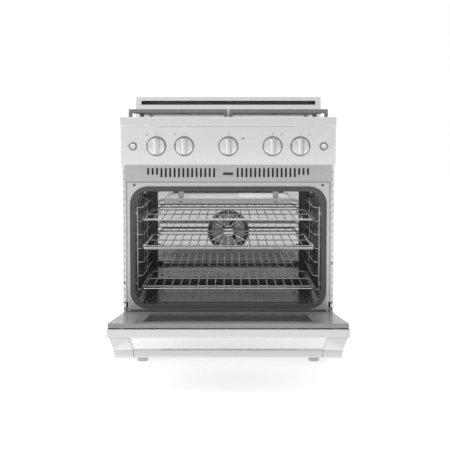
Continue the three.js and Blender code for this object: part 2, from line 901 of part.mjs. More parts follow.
function addCooktop() {
  add(body, 'front_ledge', frontLedge(), brushedSteel);
  add(body, 'cooktop_pan', cooktopPan(), darkEnamel);
  add(body, 'backguard', backguard(), brushedSteel);
  for (const place of burnerPlaces()) {
    add(body, `burner_head_${place.name}`, burnerHead(place), plainSteel);
    add(body, `burner_cap_${place.name}`, burnerCap(place), castIron);
  }
  addPair(body, 'grate', grate(), castIron);
}

// ---- door, drawn closed about its hinge line and turned open as a group

const linerX = halfWidth - linerInset;
const linerRear = hingeFromLiner - linerDepth;
const hingePlateX = halfWidth - frameInset + gap * 4;

function doorSkin() {
  const shell = block(-halfWidth, halfWidth, skinFace, skinFace + skinDepth, doorFoot, doorHead);
  const hollow = block(
    sheet - halfWidth, halfWidth - sheet, skinFace + sheet, skinFace + skinDepth + 1,
    doorFoot + sheet, doorHead - sheet,
  );
  const opening = block(
    -outerWindowX, outerWindowX, skinFace - 1, skinFace + sheet + 1,
    doorFoot + outerWindowFoot, doorHead - outerWindowHead,
  );
  return cut(shell, [hollow, opening]);
}

function doorOuterGlass() {
  const near = skinFace + sheet + gap;
  return block(
    -outerWindowX - windowEdge, outerWindowX + windowEdge, near, near + outerGlass,
    doorFoot + outerWindowFoot - windowEdge, doorHead - outerWindowHead + windowEdge,
  );
}

function doorLiner() {
  const face = hingeFromLiner;
  const windowX = halfWidth - innerWindowSide;
  const shell = block(-linerX, linerX, linerRear, face, doorFoot, doorHead);
  const bossX = linerX - sheet - hingeBoss;
  const hollows = [
    block(
      sheet - linerX, linerX - sheet, linerRear - 1, face - sheet, hingeNotch + hingeShelf, doorHead - sheet,
    ),
    block(-bossX, bossX, linerRear - 1, face - sheet, doorFoot + sheet, hingeNotch + hingeShelf + 1),
    block(
      windowEdge - windowX, windowX - windowEdge, face - sheet - 1, face + 1,
      innerWindowFoot + windowEdge, doorHead - innerWindowHead - windowEdge,
    ),
  ];
  for (const side of [-1, 1]) {
    const near = side * (hingePlateX - gap * 2);
    const far = side * (hingePlateX + hingePlate + gap * 2);
    hollows.push(block(
      Math.min(near, far), Math.max(near, far), linerRear - 1, face + 1, doorFoot - 1, hingeNotch,
    ));
    const boreNear = side * (bossX - 1);
    const boreFar = side * (linerX - sheet);
    hollows.push(rodX(
      hingePin + hingeRunning, Math.min(boreNear, boreFar), Math.max(boreNear, boreFar), 0, 0, 12,
    ));
  }
  return cut(shell, hollows);
}

function doorInnerGlass() {
  const face = hingeFromLiner - sheet - gap;
  const windowX = halfWidth - innerWindowSide;
  return block(-windowX, windowX, face - innerGlass, face, innerWindowFoot, doorHead - innerWindowHead);
}

// Fixed hinge: a plate between frame and side flange with a pin through the liner's bosses.
function hingeBracket() {
  const plate = new THREE.Shape();
  const back = frontSetback + hingeReach;
  plate.moveTo(hingeY, hingeZ + hingeEar);
  plate.absarc(hingeY, hingeZ, hingeEar, Math.PI / 2, Math.PI * 1.5, false);
  plate.lineTo(back, hingeZ - hingeEar);
  plate.lineTo(back, hingeZ + hingeLift);
  plate.lineTo(frontSetback - 1, hingeZ + hingeLift);
  plate.lineTo(frontSetback - 1, hingeZ + hingeEar);
  const pinReach = hingeBoss / 2 - hingePinRoom;
  const middle = hingePlateX + hingePlate / 2;
  return joined([
    lengthwise(plate, hingePlateX, hingePlateX + hingePlate),
    rodX(hingePin, middle - pinReach, middle + pinReach, hingeY, hingeZ, 12),
  ]);
}

// The bracket's inner edge between its waist and its tip, where the bar meets it.
function handleInnerEdge(standoff) {
  const lean = (postTipInner - postWaistInner) / (handleStandoff - barNear);
  return halfWidth - postWaistInner - lean * (standoff - barNear);
}

function handleBracket() {
  const foot = skinFace - gap;
  const waist = skinFace - barNear;
  const tip = skinFace - handleStandoff;
  const post = polygon([
    [halfWidth - postFootInner, foot], [halfWidth - postFootOuter, foot],
    [halfWidth - postWaistOuter, waist], [halfWidth - postTipOuter, tip],
    [halfWidth - postTipInner, tip], [halfWidth - postWaistInner, waist],
  ]);
  return lying(post, doorHead - handleHeight, doorHead);
}

function handleBar() {
  const near = handleInnerEdge(barNear) - gap;
  const far = handleInnerEdge(barFar) - gap;
  const bar = polygon([
    [-near, skinFace - barNear], [near, skinFace - barNear],
    [far, skinFace - barFar], [-far, skinFace - barFar],
  ]);
  return lying(bar, doorHead - handleHeight, doorHead);
}

function addDoor() {
  const door = new THREE.Group();
  door.position.set(0, hingeY, hingeZ);
  door.rotation.x = THREE.MathUtils.degToRad(doorOpenAngle);
  body.add(door);
  add(door, 'door_skin', doorSkin(), brushedSteel);
  add(door, 'door_outer_glass', doorOuterGlass(), glass);
  add(door, 'door_liner', doorLiner(), greyEnamel);
  add(door, 'door_inner_glass', doorInnerGlass(), glass);
  addPair(door, 'handle_bracket', handleBracket(), brushedSteel);
  add(door, 'handle_bar', handleBar(), brushedSteel);
  addPair(body, 'hinge_bracket', hingeBracket(), plainSteel);
}

addCabinet();
addOven();
addControls();
addCooktop();
addDoor();

// The origin is the floor point under the middle of the whole object, door and all.
range.updateMatrixWorld(true);
const extent = new THREE.Box3().setFromObject(range);
body.position.y = -(extent.min.y + extent.max.y) / 2;

export default range;
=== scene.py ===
import math

import bmesh
import bpy
from mathutils import Matrix, Vector


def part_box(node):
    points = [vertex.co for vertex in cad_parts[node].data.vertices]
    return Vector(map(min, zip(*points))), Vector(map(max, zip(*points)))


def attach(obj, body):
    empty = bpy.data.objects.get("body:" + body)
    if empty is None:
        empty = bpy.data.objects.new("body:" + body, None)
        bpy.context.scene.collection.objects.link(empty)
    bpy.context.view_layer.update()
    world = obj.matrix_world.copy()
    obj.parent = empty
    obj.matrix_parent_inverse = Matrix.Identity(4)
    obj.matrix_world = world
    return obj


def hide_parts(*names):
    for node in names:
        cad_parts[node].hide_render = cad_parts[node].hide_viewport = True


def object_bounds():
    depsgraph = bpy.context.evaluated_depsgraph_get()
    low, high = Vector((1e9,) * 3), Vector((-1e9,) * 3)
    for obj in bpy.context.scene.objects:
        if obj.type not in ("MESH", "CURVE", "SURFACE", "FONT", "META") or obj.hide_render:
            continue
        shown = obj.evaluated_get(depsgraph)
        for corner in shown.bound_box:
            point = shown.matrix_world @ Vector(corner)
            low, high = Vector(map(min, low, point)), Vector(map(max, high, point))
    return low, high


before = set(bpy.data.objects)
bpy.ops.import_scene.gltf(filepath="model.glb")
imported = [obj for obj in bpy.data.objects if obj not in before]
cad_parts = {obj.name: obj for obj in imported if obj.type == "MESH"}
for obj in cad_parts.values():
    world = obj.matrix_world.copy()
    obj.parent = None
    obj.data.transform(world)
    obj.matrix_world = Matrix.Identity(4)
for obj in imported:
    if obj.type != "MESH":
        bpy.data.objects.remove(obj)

# Freestanding gas range, oven door down. Metres, Z up, the cook stands on the -Y side.
mm = 0.001
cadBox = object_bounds()
cadLow = cadBox[0]
facing = {
    "up": Matrix.Identity(4),
    "front": Matrix.Rotation(math.radians(90), 4, "X"),
    "back": Matrix.Rotation(math.radians(-90), 4, "X"),
    "right": Matrix.Rotation(math.radians(90), 4, "Y"),
    "left": Matrix.Rotation(math.radians(-90), 4, "Y"),
}
sides = {"left": -1, "right": 1}
print("frame loaded,", len(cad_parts), "nodes")


# Making shapes

def middleOf(node):
    low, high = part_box(node)
    return (low + high) / 2


def fromNode(node):
    # a node's own shape, its loose triangles joined and its flats made whole
    bm = bmesh.new()
    bm.from_mesh(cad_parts[node].data)
    bmesh.ops.remove_doubles(bm, verts=bm.verts, dist=0.01 * mm)
    bmesh.ops.dissolve_limit(bm, angle_limit=math.radians(0.5), verts=bm.verts, edges=bm.edges)
    return bm


def roundEdges(bm, edges, radius, segments):
    bmesh.ops.bevel(bm, geom=edges, offset=radius, offset_type="OFFSET", segments=segments,
                    profile=0.5, affect="EDGES", clamp_overlap=True, material=-1)


def softenEdges(bm, radius, segments=2, sharperThan=32):
    sharp = [e for e in bm.edges if e.is_manifold and e.calc_face_angle(0) > math.radians(sharperThan)]
    roundEdges(bm, sharp, radius, segments)


def roundSlots(bm, radius, across, shorterThan, inside, segments=4):
    # the corners of cut slots: short edges that run straight through the sheet
    direction = Vector(across)
    corners = []
    for edge in bm.edges:
        way = edge.verts[1].co - edge.verts[0].co
        middle = (edge.verts[0].co + edge.verts[1].co) / 2
        if way.length < shorterThan and abs(way.normalized().dot(direction)) > 0.99 and inside(middle):
            corners.append(edge)
    if corners:
        roundEdges(bm, corners, radius, segments)


def newestEdges(geometry):
    verts = [g for g in geometry if isinstance(g, bmesh.types.BMVert)]
    own = set(verts)
    edges = [g for g in geometry if isinstance(g, bmesh.types.BMEdge) and own.issuperset(g.verts)]
    return verts, edges


def bentWire(bm, corners, radius, bend=0.0, steps=5, around=10, closed=False):
    # a circle drawn out along each straight and spun round each corner
    path = [Vector(c) for c in corners]
    heading = (path[1] - path[0]).normalized()
    turn = heading.to_track_quat("Z", "Y").to_matrix().to_4x4()
    verts = bmesh.ops.create_circle(bm, segments=around, radius=radius,
                                    matrix=Matrix.Translation(path[0]) @ turn)["verts"]
    edges = list({e for v in verts for e in v.link_edges})
    rings = [edges]
    here = path[0]
    for index in range(1, len(path)):
        target, angle = path[index], 0.0
        if index + 1 < len(path) and bend:
            after = (path[index + 1] - path[index]).normalized()
            angle = heading.angle(after)
            target = path[index] - heading * bend * math.tan(angle / 2)
        grown = bmesh.ops.extrude_edge_only(bm, edges=edges)["geom"]
        verts, edges = newestEdges(grown)
        bmesh.ops.translate(bm, verts=verts, vec=target - here)
        here = target
        if angle:
            inward = (after - heading * math.cos(angle)).normalized()
            spun = bmesh.ops.spin(bm, geom=verts + edges, cent=target + inward * bend,
                                  axis=heading.cross(after).normalized(), angle=angle, steps=steps,
                                  use_merge=False, use_duplicate=False)["geom_last"]
            verts, edges = newestEdges(spun)
            here = path[index] + after * bend * math.tan(angle / 2)
            heading = after
    rings.append(edges)
    if not closed:
        for ring in rings:
            bmesh.ops.edgeloop_fill(bm, edges=ring)


def spunShape(bm, profile, place, way="up", steps=32):
    # radius and height pairs turned about their own axis, then stood at a place
    before = set(bm.verts)
    points = [bm.verts.new((radius, 0, height)) for radius, height in profile]
    line = [bm.edges.new(pair) for pair in zip(points, points[1:])]
    bmesh.ops.spin(bm, geom=points + line, cent=(0, 0, 0), axis=(0, 0, 1), angle=math.tau, steps=steps,
                   use_merge=True, use_duplicate=False)
    made = [v for v in bm.verts if v not in before]
    bmesh.ops.remove_doubles(bm, verts=made, dist=0.005 * mm)
    made = [v for v in bm.verts if v not in before]
    bmesh.ops.transform(bm, matrix=Matrix.Translation(place) @ facing[way], verts=made)
    return made


def blockShape(bm, low, high, radius=0.0, segments=2):
    # a block between two corners, its edges softened
    low, high = Vector(low), Vector(high)
    matrix = Matrix.Translation((low + high) / 2) @ Matrix.Diagonal((*(high - low), 1))
    verts = bmesh.ops.create_cube(bm, size=1, matrix=matrix)["verts"]
    if radius:
        roundEdges(bm, list({e for v in verts for e in v.link_edges}), radius, segments)


def cutAcross(bm, place, direction):
    bmesh.ops.bisect_plane(bm, geom=bm.verts[:] + bm.edges[:] + bm.faces[:], plane_co=place, plane_no=direction)


screw = {"radius": 3.6 * mm, "height": 1.6 * mm, "socket": 1.5 * mm, "steps": 14}


def screwHead(bm, place, way, size=1.0):
    radius, height, socket = (screw[key] * size for key in ("radius", "height", "socket"))
    spunShape(bm, [
        (0, height * 0.25), (socket, height * 0.3), (socket, height * 0.95), (radius * 0.62, height),
        (radius * 0.9, height * 0.7), (radius, height * 0.2), (radius, 0), (0, 0),
    ], place, way, screw["steps"])


def pieceName(node):
    first, *others = node.split("_")
    return first + "".join(word.title() for word in others)


def finishPiece(name, bm, finish, slotName, node=None, body="cabinet", smoothBelow=38):
    mesh = bpy.data.meshes.new(name)
    bmesh.ops.recalc_face_normals(bm, faces=bm.faces)
    bm.to_mesh(mesh)
    bm.free()
    mesh.shade_smooth()
    mesh.set_sharp_from_angle(angle=math.radians(smoothBelow))
    mesh.materials.append(finishes[finish])
    piece = bpy.data.objects.new(name, mesh)
    bpy.context.scene.collection.objects.link(piece)
    level = piece.modifiers.new("flatFaces", "WEIGHTED_NORMAL")    # keeps wide flats flat beside soft edges
    level.keep_sharp = True
    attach(piece, body)
    if node:
        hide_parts(node)
    return piece


def dressNode(node, finish, slotName, radius, segments=2, sharperThan=32, name=None, **settings):
    # a node's own shape with its edges softened
    bm = fromNode(node)
    softenEdges(bm, radius, segments, sharperThan)
    finishPiece(name or pieceName(node), bm, finish, slotName, node, **settings)


# Shared surface effects

def newGroup(name, outputs, **inputs):
    # every group reads a place as Vector, then the inputs named for it
    group = bpy.data.node_groups.new(name, "ShaderNodeTree")
    for label, value in {"Vector": (0, 0, 0), **inputs}.items():
        kind = "NodeSocketVector" if isinstance(value, tuple) else "NodeSocketFloat"
        group.interface.new_socket(name=label, in_out="INPUT", socket_type=kind).default_value = value
    for label in outputs:
        group.interface.new_socket(name=label, in_out="OUTPUT", socket_type="NodeSocketFloat")
    return group, group.nodes.new("NodeGroupInput"), group.nodes.new("NodeGroupOutput")


def addNode(tree, kind, settings=None, values=None):
    node = tree.nodes.new("ShaderNode" + kind)
    for key, value in (settings or {}).items():
        setattr(node, key, value)
    for key, value in (values or {}).items():
        node.inputs[key].default_value = value
    return node


def noise(tree, **values):
    return addNode(tree, "TexNoise", values={key.title(): value for key, value in values.items()})


def ramp(tree, fromMin=0.0, fromMax=1.0, toMin=0.0, toMax=1.0):
    return addNode(tree, "MapRange", values={"From Min": fromMin, "From Max": fromMax,
                                             "To Min": toMin, "To Max": toMax})


def multiply(tree, *joins, **settings):
    node = addNode(tree, "Math", {"operation": "MULTIPLY", **settings})
    for socket, value in enumerate(joins):
        if isinstance(value, float):
            node.inputs[socket].default_value = value
        else:
            tree.links.new(value, node.inputs[socket])
    return node.outputs[0]


def joinUp(tree, *joins):
    # each join: the giving node and its output, then the taking node and its input
    for giver, output, taker, socket in joins:
        tree.links.new(giver.outputs[output], taker.inputs[socket])


def brushedGrainGroup():
    # long scratches along whichever axis is stretched least
    tree, given, out = newGroup("brushedGrain", ("Tone", "Height"), Stretch=(3, 600, 600))
    stretched = addNode(tree, "VectorMath", {"operation": "MULTIPLY"})
    broad = noise(tree, scale=0.35, detail=4.0, roughness=0.6)
    fine = noise(tree, scale=2.2, detail=3.0, roughness=0.7)
    both = addNode(tree, "Math", {"operation": "MULTIPLY_ADD"}, {1: 0.5})
    tree.links.new(multiply(tree, broad.outputs["Fac"], 0.5), both.inputs[2])
    joinUp(tree, (given, "Vector", stretched, 0), (given, "Stretch", stretched, 1),
           (stretched, 0, broad, "Vector"), (stretched, 0, fine, "Vector"),
           (fine, "Fac", both, 0), (both, 0, out, "Tone"), (fine, "Fac", out, "Height"))
    return tree


def handlingGroup():
    # faint wiped patches, and fine dust where a face looks up
    tree, given, out = newGroup("handling", ("Smudge", "Dust"), Scale=7.0)
    patches = noise(tree, detail=5.0, roughness=0.55, distortion=0.4)
    spread = ramp(tree, 0.38, 0.68)
    shape = addNode(tree, "NewGeometry")
    split = addNode(tree, "SeparateXYZ")
    upward = ramp(tree, 0.6, 1.0)
    specks = noise(tree, scale=420.0, detail=2.0)
    grains = ramp(tree, 0.56, 0.72)
    tree.links.new(multiply(tree, upward.outputs[0], grains.outputs[0]), out.inputs["Dust"])
    joinUp(tree, (given, "Vector", patches, "Vector"), (given, "Scale", patches, "Scale"),
           (patches, "Fac", spread, "Value"), (spread, 0, out, "Smudge"),
           (given, "Vector", specks, "Vector"), (specks, "Fac", grains, "Value"),
           (shape, "Normal", split, 0), (split, "Z", upward, "Value"))
    return tree


def edgeWearGroup():
    # outer corners, broken up so that the rubbing is uneven
    tree, given, out = newGroup("edgeWear", ("Mask",), Amount=0.5)
    shape = addNode(tree, "NewGeometry")
    corner = ramp(tree, 0.51, 0.6)
    broken = noise(tree, scale=90.0, detail=4.0)
    worn = multiply(tree, corner.outputs[0], broken.outputs["Fac"])
    tree.links.new(multiply(tree, worn, given.outputs["Amount"], use_clamp=True), out.inputs["Mask"])
    joinUp(tree, (shape, "Pointiness", corner, "Value"), (given, "Vector", broken, "Vector"))
    return tree


def speckleGroup():
    # fired enamel: light flecks and a slow orange-peel roll
    tree, given, out = newGroup("enamelSpeckle", ("Fleck", "Height"), Flecks=700.0)
    cells = addNode(tree, "TexVoronoi")
    chosen = ramp(tree, 0.24, 0.1)
    rare = noise(tree, scale=260.0, detail=1.0)
    some = ramp(tree, 0.5, 0.6)
    peel = noise(tree, scale=130.0, detail=2.0, roughness=0.4)
    tree.links.new(multiply(tree, chosen.outputs[0], some.outputs[0]), out.inputs["Fleck"])
    joinUp(tree, (given, "Vector", cells, "Vector"), (given, "Flecks", cells, "Scale"),
           (cells, "Distance", chosen, "Value"), (given, "Vector", rare, "Vector"),
           (rare, "Fac", some, "Value"), (given, "Vector", peel, "Vector"), (peel, "Fac", out, "Height"))
    return tree


def castSkinGroup():
    # sand-cast skin: coarse lumps under fine grit
    tree, given, out = newGroup("castSkin", ("Tone", "Height"), Grit=900.0)
    lumps = noise(tree, scale=160.0, detail=4.0, roughness=0.55)
    grit = noise(tree, detail=2.0, roughness=0.6)
    both = addNode(tree, "Math", {"operation": "MULTIPLY_ADD"}, {1: 0.4})
    joinUp(tree, (given, "Vector", lumps, "Vector"), (given, "Vector", grit, "Vector"),
           (given, "Grit", grit, "Scale"), (grit, "Fac", both, 0), (lumps, "Fac", both, 2),
           (lumps, "Fac", out, "Tone"), (both, 0, out, "Height"))
    return tree


groups = {
    "grain": brushedGrainGroup(),
    "handling": handlingGroup(),
    "edges": edgeWearGroup(),
    "speckle": speckleGroup(),
    "cast": castSkinGroup(),
}
print("surface groups made")


# Finishes

def startMaterial(name):
    material = bpy.data.materials.new(name)
    material.use_nodes = True
    tree = material.node_tree
    shader = tree.nodes["Principled BSDF"]
    place = addNode(tree, "TexCoord").outputs["Object"]
    return material, tree, shader, place


def useGroup(tree, key, place, values=None):
    node = addNode(tree, "Group", {"node_tree": groups[key]}, values)
    tree.links.new(place, node.inputs["Vector"])
    return node


def grey(level):
    return (level, level, level, 1)


def mixGreys(tree, factor, first, second):
    # first and second are grey levels or another mix's colour
    mix = addNode(tree, "Mix", {"data_type": "RGBA"})
    tree.links.new(factor, mix.inputs["Factor"])
    for socket, value in ((mix.inputs["A"], first), (mix.inputs["B"], second)):
        if isinstance(value, (int, float)):
            socket.default_value = grey(value)
        else:
            tree.links.new(value, socket)
    return mix.outputs["Result"]


def rangeOf(tree, value, low, high):
    node = ramp(tree, toMin=low, toMax=high)
    tree.links.new(value, node.inputs["Value"])
    return node.outputs["Result"]


def bumpFrom(tree, shader, height, strength, distance):
    bump = addNode(tree, "Bump", values={"Strength": strength, "Distance": distance})
    tree.links.new(height, bump.inputs["Height"])
    tree.links.new(bump.outputs["Normal"], shader.inputs["Normal"])


families = {
    "steel": {"group": "grain", "input": "Stretch", "tone": "Tone", "wipe": 0.3, "dust": 0.12, "dustTone": 0.5,
              "deep": 0.02 * mm, "edges": 0.5, "sockets": {"Metallic": 1.0}},
    "enamel": {"group": "speckle", "input": "Flecks", "tone": "Fleck", "wipe": 0.35, "dust": 0.1,
               "dustTone": 0.5, "deep": 0.15 * mm, "edges": 0.5, "bump": 0.25, "patches": 6.0,
               "sockets": {"Coat Roughness": 0.06}},
    "iron": {"group": "cast", "input": "Grit", "tone": "Tone", "wipe": 0.5, "dust": 0.12, "dustTone": 0.45,
             "deep": 0.35 * mm, "edges": 1.2, "patches": 11.0, "sockets": {}},
}


def layeredFinish(name, family, own):
    # the skin's own tones, then wiped patches, rubbed edges and dust over them
    look = {**families[family], **own}
    material, tree, shader, place = startMaterial(name)
    skin = useGroup(tree, look["group"], place, {look["input"]: look["grain"]})
    marks = useGroup(tree, "handling", place, {"Scale": look["patches"]})
    edges = useGroup(tree, "edges", place, {"Amount": look["edges"]})
    colour = mixGreys(tree, skin.outputs[look["tone"]], look["dark"], look["light"])
    wiped = mixGreys(tree, rangeOf(tree, marks.outputs["Smudge"], 0.0, look["wipe"]), colour,
                     look.get("wiped", look["dark"]))
    rubbed = mixGreys(tree, edges.outputs["Mask"], wiped, look["edgeTone"])
    dusty = mixGreys(tree, rangeOf(tree, marks.outputs["Dust"], 0.0, look["dust"]), rubbed, look["dustTone"])
    tree.links.new(dusty, shader.inputs["Base Color"])
    tree.links.new(rangeOf(tree, marks.outputs["Smudge"], *look["rough"]), shader.inputs["Roughness"])
    bumpFrom(tree, shader, skin.outputs["Height"], look["bump"], look["deep"])
    for socket, value in {**look["sockets"], **look.get("extra", {})}.items():
        shader.inputs[socket].default_value = value
    return material


def gasketFinish(name):
    # woven glass-fibre sleeve: two crossing threads
    material, tree, shader, place = startMaterial(name)
    turned = [addNode(tree, "Mapping", values={"Rotation": (0, math.radians(a), 0)}) for a in (45, -45)]
    waves = [addNode(tree, "TexWave", values={"Scale": 160.0, "Distortion": 0.6, "Detail": 1.0})
             for _ in turned]
    for mapping, wave in zip(turned, waves):
        tree.links.new(place, mapping.inputs["Vector"])
        tree.links.new(mapping.outputs["Vector"], wave.inputs["Vector"])
    weave = addNode(tree, "Math", {"operation": "MAXIMUM"})
    tree.links.new(waves[0].outputs["Fac"], weave.inputs[0])
    tree.links.new(waves[1].outputs["Fac"], weave.inputs[1])
    marks = useGroup(tree, "handling", place, {"Scale": 16.0})
    threads = mixGreys(tree, weave.outputs[0], 0.05, 0.1)
    worn = mixGreys(tree, rangeOf(tree, marks.outputs["Smudge"], 0.0, 0.5), threads, 0.085)
    tree.links.new(worn, shader.inputs["Base Color"])
    tree.links.new(rangeOf(tree, marks.outputs["Smudge"], 0.6, 0.8), shader.inputs["Roughness"])
    bumpFrom(tree, shader, weave.outputs[0], 0.5, 0.3 * mm)
    return material


def paintFinish(name, look):
    # moulded or printed parts with a fine grain
    material, tree, shader, place = startMaterial(name)
    skin = useGroup(tree, "cast", place, {"Grit": 2400.0})
    marks = useGroup(tree, "handling", place, {"Scale": 20.0})
    colour = mixGreys(tree, skin.outputs["Tone"], look["dark"], look["light"])
    tree.links.new(colour, shader.inputs["Base Color"])
    tree.links.new(rangeOf(tree, marks.outputs["Smudge"], *look["rough"]), shader.inputs["Roughness"])
    bumpFrom(tree, shader, skin.outputs["Height"], 0.15, 0.05 * mm)
    return material


def glassFinish(name, look):
    # smoked glass with a few wiping marks
    material, tree, shader, place = startMaterial(name)
    marks = useGroup(tree, "handling", place, {"Scale": 9.0})
    colour = mixGreys(tree, marks.outputs["Smudge"], look["tint"], look["tint"] * 1.25)
    tree.links.new(colour, shader.inputs["Base Color"])
    tree.links.new(rangeOf(tree, marks.outputs["Smudge"], *look["rough"]), shader.inputs["Roughness"])
    shader.inputs["IOR"].default_value = 1.52
    shader.inputs["Transmission Weight"].default_value = look["clear"]
    return material


steelLooks = {
    "brushedAcross": {"grain": (4, 700, 700), "dark": 0.74, "light": 0.86, "rough": (0.26, 0.31),
                      "bump": 0.04, "edgeTone": 0.95, "patches": 3.0, "extra": {"Anisotropic": 0.35}},
    "brushedUpright": {"grain": (700, 700, 4), "dark": 0.64, "light": 0.8, "rough": (0.29, 0.35),
                       "bump": 0.14, "edgeTone": 0.9, "patches": 3.0},
    "satinFrame": {"grain": (5, 500, 500), "dark": 0.52, "light": 0.61, "rough": (0.33, 0.4),
                   "bump": 0.12, "edgeTone": 0.7, "patches": 4.0},
    # painted shade: the vent trim's steel is set darker to stand for the shade under the control panel's
    # overhang; the flange foils and the fan cover share it
    "shadeDarkVentSheet": {"grain": (5, 500, 500), "dark": 0.43, "light": 0.52, "rough": (0.3, 0.36),
                  "bump": 0.12, "edgeTone": 0.62, "patches": 4.0},
    # painted light: a near-white, low-rough copy of the brushed steel for the backguard, lifting it over the
    # dark it reflects
    "paintedLightGuardSheet": {"grain": (4, 700, 700), "dark": 0.94, "light": 0.99, "rough": (0.06, 0.1),
                   "bump": 0.04, "edgeTone": 0.98, "patches": 3.0},
    # painted shade: a darker copy of brushedAcross for the handle bar, toning down the key light's highlight on
    # its top face
    "barSteel": {"grain": (4, 700, 700), "dark": 0.62, "light": 0.74, "rough": (0.26, 0.31),
                 "bump": 0.04, "edgeTone": 0.9, "patches": 3.0, "extra": {"Anisotropic": 0.35}},
    "knobSteel": {"grain": (60, 60, 60), "dark": 0.84, "light": 0.9, "rough": (0.14, 0.2),
                  "bump": 0.01, "edgeTone": 0.96, "patches": 9.0},
    "legSteel": {"grain": (300, 300, 30), "dark": 0.38, "light": 0.48, "rough": (0.08, 0.12),
                 "bump": 0.08, "edges": 0.6, "edgeTone": 0.7, "patches": 12.0},
    "ladderWire": {"grain": (60, 60, 60), "dark": 0.42, "light": 0.56, "rough": (0.18, 0.3),
                   "bump": 0.1, "edges": 0.4, "edgeTone": 0.6, "patches": 18.0},
    "broilSheet": {"grain": (5, 400, 400), "dark": 0.25, "light": 0.31, "rough": (0.24, 0.32),
                   "bump": 0.1, "edgeTone": 0.6, "patches": 6.0},
    "plainSteel": {"grain": (40, 40, 40), "dark": 0.34, "light": 0.5, "rough": (0.34, 0.5),
                   "bump": 0.2, "edges": 0.8, "edgeTone": 0.65, "patches": 9.0},
    "polishedSheet": {"grain": (300, 300, 300), "dark": 0.4, "light": 0.46, "rough": (0.03, 0.05),
                      "bump": 0.02, "edges": 0.6, "edgeTone": 0.75, "patches": 5.0},
    "chromeWire": {"grain": (60, 60, 60), "dark": 0.8, "light": 0.9, "rough": (0.2, 0.3),
                   "bump": 0.02, "edges": 0.4, "edgeTone": 0.95, "patches": 18.0},
    "burnerAlloy": {"grain": (220, 220, 220), "dark": 0.36, "light": 0.52, "rough": (0.38, 0.52),
                    "bump": 0.5, "edges": 0.9, "edgeTone": 0.7, "patches": 20.0},
    # painted shade: a dark steel standing in for the shadow round the knobs and in the side gaps
    "paintedShadeSteel": {"grain": (300, 300, 300), "dark": 0.2, "light": 0.28, "rough": (0.24, 0.34),
                   "bump": 0.2, "edges": 0.9, "edgeTone": 0.6, "patches": 14.0},
}
enamelLooks = {
    "cavityEnamel": {"grain": 620.0, "dark": 0.095, "light": 0.22, "wiped": 0.115, "edgeTone": 0.115,
                     "rough": (0.16, 0.3), "extra": {"Coat Weight": 0.5}},
    "cooktopEnamel": {"grain": 900.0, "dark": 0.018, "light": 0.03, "wiped": 0.03, "edgeTone": 0.03,
                      "rough": (0.1, 0.2), "extra": {"Coat Weight": 0.8}},
    "linerEnamel": {"grain": 800.0, "dark": 0.27, "light": 0.35, "wiped": 0.31, "edgeTone": 0.31,
                    "rough": (0.3, 0.42), "extra": {"Coat Weight": 0.25}},
    "capEnamel": {"grain": 1100.0, "dark": 0.022, "light": 0.05, "wiped": 0.035, "edgeTone": 0.035,
                  "rough": (0.35, 0.5), "extra": {"Coat Weight": 0.1}},
}
castIron = {"grain": 900.0, "dark": 0.15, "light": 0.22, "edgeTone": 0.3, "rough": (0.5, 0.68), "bump": 0.55,
            "extra": {"Metallic": 0.25}}
paintLooks = {
    "darkPlastic": {"dark": 0.035, "light": 0.055, "rough": (0.42, 0.55)},
    "printedMark": {"dark": 0.38, "light": 0.46, "rough": (0.45, 0.6)},
    "ceramic": {"dark": 0.7, "light": 0.82, "rough": (0.3, 0.42)},
    "fibreBoard": {"dark": 0.52, "light": 0.6, "rough": (0.55, 0.7)},
    "channelBlack": {"dark": 0.02, "light": 0.035, "rough": (0.5, 0.62)},
    "ductGrey": {"dark": 0.42, "light": 0.5, "rough": (0.5, 0.62)},
}
glassLooks = {
    "doorGlass": {"tint": 0.22, "rough": (0.02, 0.08), "clear": 0.7},
    "lampGlass": {"tint": 0.75, "rough": (0.08, 0.18), "clear": 0.6},
}
finishes = {name: layeredFinish(name, "steel", look) for name, look in steelLooks.items()}
finishes.update({name: layeredFinish(name, "enamel", look) for name, look in enamelLooks.items()})
finishes["castIron"] = layeredFinish("castIron", "iron", castIron)
finishes["gasketWeave"] = gasketFinish("gasketWeave")
finishes.update({name: paintFinish(name, look) for name, look in paintLooks.items()})
finishes.update({name: glassFinish(name, look) for name, look in glassLooks.items()})
print("finishes made,", len(bpy.data.materials), "materials")


# Cabinet

sheetEdge = 0.45 * mm
slotCut = {"shorterThan": 3 * mm, "fromEnd": 5 * mm, "flangeRadius": 1.9 * mm, "flangeEdge": 1 * mm,
           "ventRadius": 3.3 * mm, "ventEdge": 20 * mm}
acrossSheet = (0, 1, 0)


def sidePanel(side):
    node = f"side_panel_{side}"
    low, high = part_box(node)
    end, edge = slotCut["fromEnd"], slotCut["flangeEdge"]
    bm = fromNode(node)
    roundSlots(bm, slotCut["flangeRadius"], acrossSheet, slotCut["shorterThan"],
               lambda p: low.z + end < p.z < high.z - end and low.x + edge < p.x < high.x - edge)
    softenEdges(bm, sheetEdge)
    finishPiece(pieceName(node), bm, "brushedUpright", "brushed_steel", node)


flangeFoil = {"inset": 1.8 * mm, "thick": 0.8 * mm, "past": 12 * mm, "overHinge": 48 * mm, "underPanel": 2 * mm,
              "gap": 0.2 * mm}


